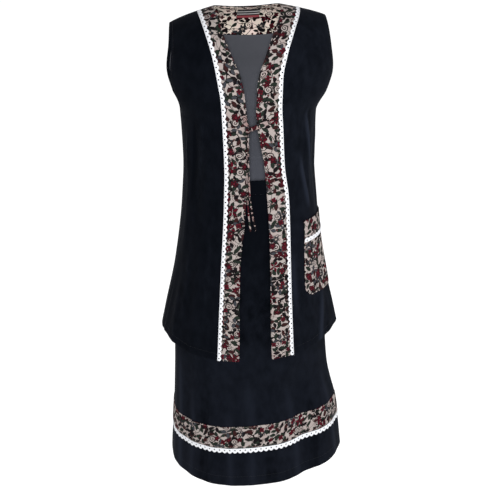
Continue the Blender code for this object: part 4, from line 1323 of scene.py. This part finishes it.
def knot_piece(made_of):
    """The knot: a strip wound over and round itself."""
    (centre,), (face,) = on_front([KNOT_PLACE])
    up = unit(np.array([KNOT_LEAN, 0.0, 1.0]))
    side = unit(np.cross(up, face))
    up = np.cross(face, side)
    turn = np.linspace(0.0, KNOT_TURNS * 2 * math.pi, KNOT_STEPS)
    radius = KNOT_RADIUS + KNOT_SWELL * np.cos(KNOT_WAVES * turn)
    line = (centre + side[None] * (radius * np.cos(turn) * KNOT_BREADTH)[:, None]
            + up[None] * (radius * np.sin(turn))[:, None]
            + face[None] * (KNOT_RISE * np.sin(KNOT_WAVES * turn + KNOT_PHASE))[:, None])
    facing = unit(line - centre + face * KNOT_FACING)
    return strip("knot_wound", line, facing, np.full(len(line), KNOT_WIDTH), KNOT_THICK, made_of)


def ties(printed):
    """Both ties as cords that hang from the bands, tied once, the knot riding on the left one."""
    knot = knot_piece(printed)
    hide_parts("tie_knot")
    for name, strap, end, nodes, pieces in (
            ("tie_left", STRAP_LEFT, TIE_END_LONG, ("tie_strap_left", "tie_end_long"), [knot]),
            ("tie_right", STRAP_RIGHT, TIE_END_SHORT, ("tie_strap_right", "tie_end_short"), [])):
        piece, line, length = tie(name, strap, end, printed)
        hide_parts(*nodes)


def edge_sewing(sewing, panel, first_column, steps, armholes):
    """Rows of stitches above the vest's hem and beside its armholes."""
    hem_row = LOWER_ROWS * VEST_HEM_SEWING / (ARMPIT_HEIGHT - VEST_HEM_FRONT)
    sewing.row(*panel.sample(hem_row, np.linspace(first_column, panel.columns, steps)), STITCH_OFF)
    rows = np.linspace(LOWER_ROWS + 1.0, panel.rows, ARMHOLE_STEPS)
    for column_from, inward in armholes:
        sewing.row(*panel.beside(rows, column_from, np.full(ARMHOLE_STEPS, inward)), STITCH_OFF)


def vest_fronts(looks, sewing):
    """Both fronts with their printed bands and the lace over each seam."""
    seam = BAND_COLUMNS
    for side in ("right", "left"):
        panel = front_panel(side)
        for name, block, edge, inward, thick, look, slot in (
                ("front", slice(seam, None), 0, 1, VELVET_THICK, "velvet", "velvet"),
                ("band", slice(0, seam + 1), -1, -2, BAND_THICK, "printed", "printed_cloth")):
            grid = panel.points[:, block].copy()
            grid[:, edge] += unit(grid[:, inward] - grid[:, edge]) * GAP / 2
            # Painted highlights on the ridges of creases, painted shade in their hollows, and painted shade
            # or light over the whole front by its side
            painted_light_and_shade = stands_out(VEST_CREASES, panel.angle[:, block], panel.height[:, block]) / CREASE_FULL_HIGHLIGHT
            painted_light_and_shade = painted_light_and_shade + FRONT_PAINTED_LIGHT_AND_SHADE[side]
            piece = cloth(f"{name}_{side}", grid, panel.out[:, block], 0.0, thick, looks[look], painted_light_and_shade=painted_light_and_shade)
            declare(piece, f"vest_{name}_{side}")
        rows = np.linspace(0.0, panel.rows, SEAM_STEPS * panel.rows + 1)
        middle, _ = panel.sample(rows, float(seam))
        way = along(middle)

        def spot(distance, across, panel=panel, rows=rows, way=way):
            at = np.interp(distance, way, rows)
            return panel.beside(at, float(seam), -across)

        piece = lace(f"lace_{side}", spot, way[-1], VEST_LACE, looks["lace"])
        declare(piece, f"vest_lace_{side}")
        for column_from, inward, off in ((0.0, EDGE_SEWING, STITCH_OFF),
                                         (float(seam), LACE_SEWING, LACE_STITCH_OFF)):
            sewing.row(*panel.beside(rows, column_from, np.full(len(rows), inward)), off)
        edge_sewing(sewing, panel, 0.5, FRONT_HEM_STEPS, ((float(panel.columns), -ARMHOLE_SEWING),))


def vest_back(looks, sewing):
    """The back, its lining, the neck facing inside it and the label on the facing."""
    panel = back_panel()
    # Painted highlights on the ridges of creases and painted shade in their hollows
    painted_light_and_shade = stands_out(VEST_CREASES, panel.angle, panel.height) / CREASE_FULL_HIGHLIGHT
    declare(cloth("back", panel.points, panel.out, 0.0, VELVET_THICK, looks["velvet"], painted_light_and_shade=painted_light_and_shade),
            "vest_back")
    middle = BACK_NECK_COLUMNS + BACK_SIDE_COLUMNS
    top = panel.rows
    rows = np.linspace(0.0, top, BACK_STEPS)
    centre, _ = panel.sample(rows, float(middle))
    down = along(centre)[-1] - along(centre)
    split = top - FACING_ROWS
    split_down = np.interp(split, rows, down)
    under_split, hem, label_low, label_high = np.interp(
        [-split_down - GAP, LINING_HEM_RISE - down[0], -LABEL_DROP - LABEL_HEIGHT, -LABEL_DROP], -down, rows)
    widths = panel.points[-1, middle:, 0] - panel.points[-1, middle, 0]
    label_half, label_shift = np.interp([LABEL_WIDTH / 2, LABEL_SHIFT], widths, np.arange(len(widths)))
    inside = -(VELVET_THICK + GAP)

    def piece(name, node, slot, low, high, half, outer, thick, look, steps, shift=0.0, under="back"):
        up = np.linspace(low, high, steps[0] + 1)
        reach = np.where(up > LOWER_ROWS, np.minimum(half, middle - ARMHOLE_TURNING), half)
        across = middle + shift + reach[:, None] * np.linspace(-1.0, 1.0, steps[1] + 1)
        points, out = panel.sample(up[:, None] + 0.0 * across, across)
        built = cloth(name, points, out, outer, thick, looks[look])
        declare(built, node)

    piece("back_lining", "vest_back_lining", "grey_lining", hem, under_split, middle, inside,
          LINING_THICK, "grey", BACK_LINING_GRID)
    piece("facing", "neck_facing", "printed_cloth", split, top, FACING_COLUMNS, inside, FACING_THICK,
          "facing", (FACING_ROWS, 2 * FACING_COLUMNS))
    below = inside - FACING_THICK - LABEL_GAP
    piece("label", "neck_label", "label_cloth", label_low, label_high, label_half, below, LABEL_THICK,
          "label", LABEL_GRID, label_shift, under="facing")
    edge_sewing(sewing, panel, 0.0, BACK_HEM_STEPS,
                ((0.0, ARMHOLE_SEWING), (float(panel.columns), -ARMHOLE_SEWING)))


def pocket_place(distance, height):
    """The vest's angle for distances from the pocket's inner edge, at heights."""
    share = np.clip((POCKET_TOP - height) / POCKET_HEIGHT, 0.0, 1.0)
    inner = POCKET_INNER_TOP + (POCKET_INNER_BOTTOM - POCKET_INNER_TOP) * share
    start = angle_at(inner, height)
    spread = np.linspace(1.0, PAST_SIDE, RING_STEPS)
    rings = start[..., None] * spread
    points = vest_surface(rings, np.broadcast_to(height[..., None], rings.shape), SHOULDER_RADIUS)
    steps = np.linalg.norm(np.diff(points, axis=-2), axis=-1)
    way = np.concatenate([np.zeros((*steps.shape[:-1], 1)), np.cumsum(steps, axis=-1)], axis=-1)
    angle = np.zeros(distance.shape)
    for place in np.ndindex(distance.shape):
        angle[place] = np.interp(distance[place], way[place], rings[place])
    return angle


def pocket_pieces(looks, sewing):
    """The patch pocket with rounded lower corners, a little full, and the lace across it."""
    body = np.linspace(0.0, POCKET_HEIGHT - POCKET_CORNER, POCKET_BODY_ROWS + 1)
    turn = np.radians(np.linspace(0.0, POCKET_CORNER_TURN, POCKET_CORNER_ROWS + 1))[1:]
    down = np.concatenate([body, POCKET_HEIGHT - POCKET_CORNER * (1.0 - np.sin(turn))])
    pull = np.concatenate([np.zeros(len(body)), POCKET_CORNER * (1.0 - np.cos(turn))])

    def place(distance, height):
        return face_of(vest_surface, pocket_place(distance, height), height)

    def block(first, last):
        across = np.linspace(first, last, POCKET_COLUMNS + 1)
        distance = pull[:, None] + across * (POCKET_WIDTH - 2 * pull[:, None])
        return distance, POCKET_TOP - down[:, None] + 0.0 * distance

    distance, height = block(0.0, 1.0)
    points, out = place(distance, height)
    flat = np.stack([distance, height], axis=-1)
    reach = np.minimum(distance - pull[:, None], POCKET_WIDTH - pull[:, None] - distance)
    puff = soft_step(np.minimum(reach, POCKET_HEIGHT - down[:, None]) / POCKET_PUFF_EDGE)
    points = points + out * (POCKET_PUFF * puff)[..., None]
    piece = cloth("pocket_patch", points, out, POCKET_GAP + TRIM_THICK, TRIM_THICK, looks["printed"], flat)
    declare(piece, "pocket")

    def spot(distance, across):
        height = POCKET_TOP - POCKET_LACE_DROP + across
        points, out = place(distance, height)
        return points + out * (POCKET_PUFF + POCKET_GAP + TRIM_THICK), out

    piece = lace("lace_pocket", spot, POCKET_WIDTH, POCKET_LACE, looks["lace"])
    declare(piece, "pocket_lace")
    inset = EDGE_SEWING
    side_down = np.linspace(POCKET_SEWING_TOP, POCKET_HEIGHT - POCKET_CORNER, POCKET_SIDE_STEPS)
    corner = np.radians(np.linspace(0.0, 90.0, POCKET_TURN_STEPS))
    radius = POCKET_CORNER - inset
    left = [(inset, drop) for drop in side_down]
    left += [(POCKET_CORNER - radius * math.cos(t), POCKET_HEIGHT - POCKET_CORNER + radius * math.sin(t))
             for t in corner]
    right = [(POCKET_WIDTH - far, drop) for far, drop in reversed(left)]
    line = np.array(left + right)
    points, out = place(line[:, 0], POCKET_TOP - line[:, 1])
    sewing.row(points, out, POCKET_GAP + TRIM_THICK + POCKET_STITCH_OFF)


def band_tilt(angle):
    """How much higher the skirt's printed band lies at an angle, because it hangs a little askew."""
    return SKIRT_BAND_TILT * np.cos(np.radians(angle))


def skirt(looks, sewing, trim_sewing):
    """Both halves of the skirt, their waistbands, printed bands and lace, and the back's lining."""
    for name, start, end in (("front", 180.0, 0.0), ("back", 360.0, 180.0)):
        panel = skirt_panel(start, end)
        below, above = slice(0, SKIRT_ROWS + 1), slice(SKIRT_ROWS, None)
        # Painted highlights and shade on the creases, with painted shade high up under the vest and painted
        # light towards the hem
        painted_light_and_shade = stands_out(SKIRT_CREASES, panel.angle[below], panel.height[below]) / CREASE_FULL_HIGHLIGHT
        painted_light_and_shade = painted_light_and_shade + np.interp(panel.height[below], *SKIRT_PAINTED_LIGHT_AND_SHADE)
        piece = cloth(f"skirt_{name}_panel", panel.points[below], panel.out[below], 0.0, VELVET_THICK,
                      looks["velvet"], painted_light_and_shade=painted_light_and_shade)
        declare(piece, f"skirt_{name}")
        points = panel.points[above].copy()
        points[0, :, 2] += GAP
        # The waistband is painted dark all over, as painted shade under the vest
        piece = cloth(f"waistband_{name}", points, panel.out[above], 0.0, BAND_THICK, looks["velvet"],
                      painted_light_and_shade=np.full(points.shape[:2], SKIRT_PAINTED_LIGHT_AND_SHADE[1][-1]))
        declare(piece, f"skirt_waistband_{name}")
        angle = panel.angle[0]
        tilt = band_tilt(angle)
        up = np.linspace(SKIRT_BAND_BOTTOM, SKIRT_BAND_TOP, BAND_ROWS + 1)[:, None]
        points, out = face_of(skirt_surface, angle + 0.0 * up, up + tilt)
        piece = cloth(f"band_{name}", points, out, GAP + TRIM_THICK, TRIM_THICK, looks["printed"])
        declare(piece, f"skirt_band_{name}")
        for edge in (SKIRT_BAND_BOTTOM + EDGE_SEWING, SKIRT_BAND_TOP - EDGE_SEWING):
            trim_sewing.row(*face_of(skirt_surface, angle, edge + tilt), GAP + TRIM_THICK + STITCH_OFF)
        sewing.row(*face_of(skirt_surface, angle, panel.height[0] + SKIRT_HEM_SEWING), STITCH_OFF)
        line_angle = np.linspace(start, end, SKIRT_LINE_STEPS * SKIRT_COLUMNS + 1)
        centre = SKIRT_BAND_BOTTOM - GAP - SKIRT_LACE[1]
        line, _ = face_of(skirt_surface, line_angle, centre + band_tilt(line_angle))
        way = along(line)

        def spot(distance, across, way=way, line_angle=line_angle, centre=centre):
            turned = np.interp(distance, way, line_angle)
            return face_of(skirt_surface, turned, centre + band_tilt(turned) - across)

        piece = lace(f"lace_skirt_{name}", spot, way[-1], SKIRT_LACE, looks["lace"])
        declare(piece, f"skirt_lace_{name}")
        if name == "back":
            seam = panel.height[SKIRT_ROWS]
            low = panel.height[0] + SKIRT_LINING_RISE
            high = seam + WAISTBAND_HEIGHT * SKIRT_LINING_REACH
            share = np.linspace(0.0, 1.0, SKIRT_LINING_ROWS)[:, None]
            points, out = face_of(skirt_surface, angle + 0.0 * share, low + (high - low) * share)
            piece = cloth("skirt_lining", points, out, -(BAND_THICK + GAP), LINING_THICK, looks["grey"])
            declare(piece, "skirt_back_lining")


def stage_and_light():
    """A plain pale floor, a pale room, a small lamp in front and a broad one at the side."""
    mesh = bpy.data.meshes.new("floor")
    corners = ((-1, -1), (1, -1), (1, 1), (-1, 1))
    mesh.from_pydata([(FLOOR_HALF * x, FLOOR_HALF * y, FLOOR_HEIGHT) for x, y in corners], [], [(0, 1, 2, 3)])
    floor = placed("floor", mesh)
    mesh.materials.append(floor_material())
    bpy.context.scene.view_settings.view_transform = "Standard"
    world = bpy.data.worlds.new("pale_room")
    bpy.context.scene.world = world
    world.use_nodes = True
    room = world.node_tree.nodes["Background"].inputs
    room["Color"].default_value = (1.0, 1.0, 1.0, 1.0)
    room["Strength"].default_value = WORLD_STRENGTH
    for name, place, size, power in LIGHTS:
        lamp = bpy.data.lights.new(name, "AREA")
        lamp.shape = "SQUARE"
        lamp.size = size
        lamp.energy = power
        light = placed(name, lamp)
        light.location = place
        aim = Vector(LIGHT_AIM) - Vector(place)
        light.rotation_euler = aim.to_track_quat("-Z", "Y").to_euler()


def camera():
    """The photo's camera: a little to the wearer's right, above the garment and looking down on it."""
    turn, down, roll = (math.radians(value) for value in (CAMERA_TURN, CAMERA_DOWN, CAMERA_ROLL))
    ahead = Vector((math.sin(turn), math.cos(turn), 0.0))
    across = Vector((math.cos(turn), -math.sin(turn), 0.0))
    look = ahead * math.cos(down) - Vector((0.0, 0.0, 1.0)) * math.sin(down)
    up = ahead * math.sin(down) + Vector((0.0, 0.0, 1.0)) * math.cos(down)
    right_axis = across * math.cos(roll) + up * math.sin(roll)
    up_axis = up * math.cos(roll) - across * math.sin(roll)
    data = bpy.data.cameras.new("photo_camera")
    data.sensor_width = CAMERA_SENSOR
    data.lens = CAMERA_LENS
    shot = placed("photo_camera", data)
    place = Vector((-CAMERA_DISTANCE * math.sin(turn), -CAMERA_DISTANCE * math.cos(turn), CAMERA_HEIGHT))
    shot.matrix_world = Matrix((right_axis, up_axis, -look)).transposed().to_4x4()
    shot.location = place
    bpy.context.scene.camera = shot


def build():
    """The whole scene: camera, cloths, ties, stitches, floor and light."""
    camera()
    looks = {
        "velvet": velvet_material(),
        "printed": print_material("printed_cloth_look", GROUND, GROUND_WARM),
        "facing": print_material("facing_cloth_look", GROUND_CREAM, GROUND_PALE, FACING_LEAFINESS),
        "lace": lace_material(),
        "grey": lining_material(),
        "label": label_material(),
    }
    dark = thread_material("dark_thread", THREAD_DARK)
    light = thread_material("light_thread", THREAD_LIGHT)
    ties(print_material("tie_cloth_look", TIE_GROUND, GROUND_WARM, TIE_LEAFINESS))
    vest_sewing, trim_sewing, skirt_sewing = Sewing(), Sewing(), Sewing()
    vest_fronts(looks, vest_sewing)
    vest_back(looks, vest_sewing)
    pocket_pieces(looks, trim_sewing)
    skirt(looks, skirt_sewing, trim_sewing)
    for name, sewing, thread in (("vest_stitches", vest_sewing, dark), ("trim_stitches", trim_sewing, light),
                                 ("skirt_stitches", skirt_sewing, dark)):
        sewing.make(name, thread)
    stage_and_light()


build()
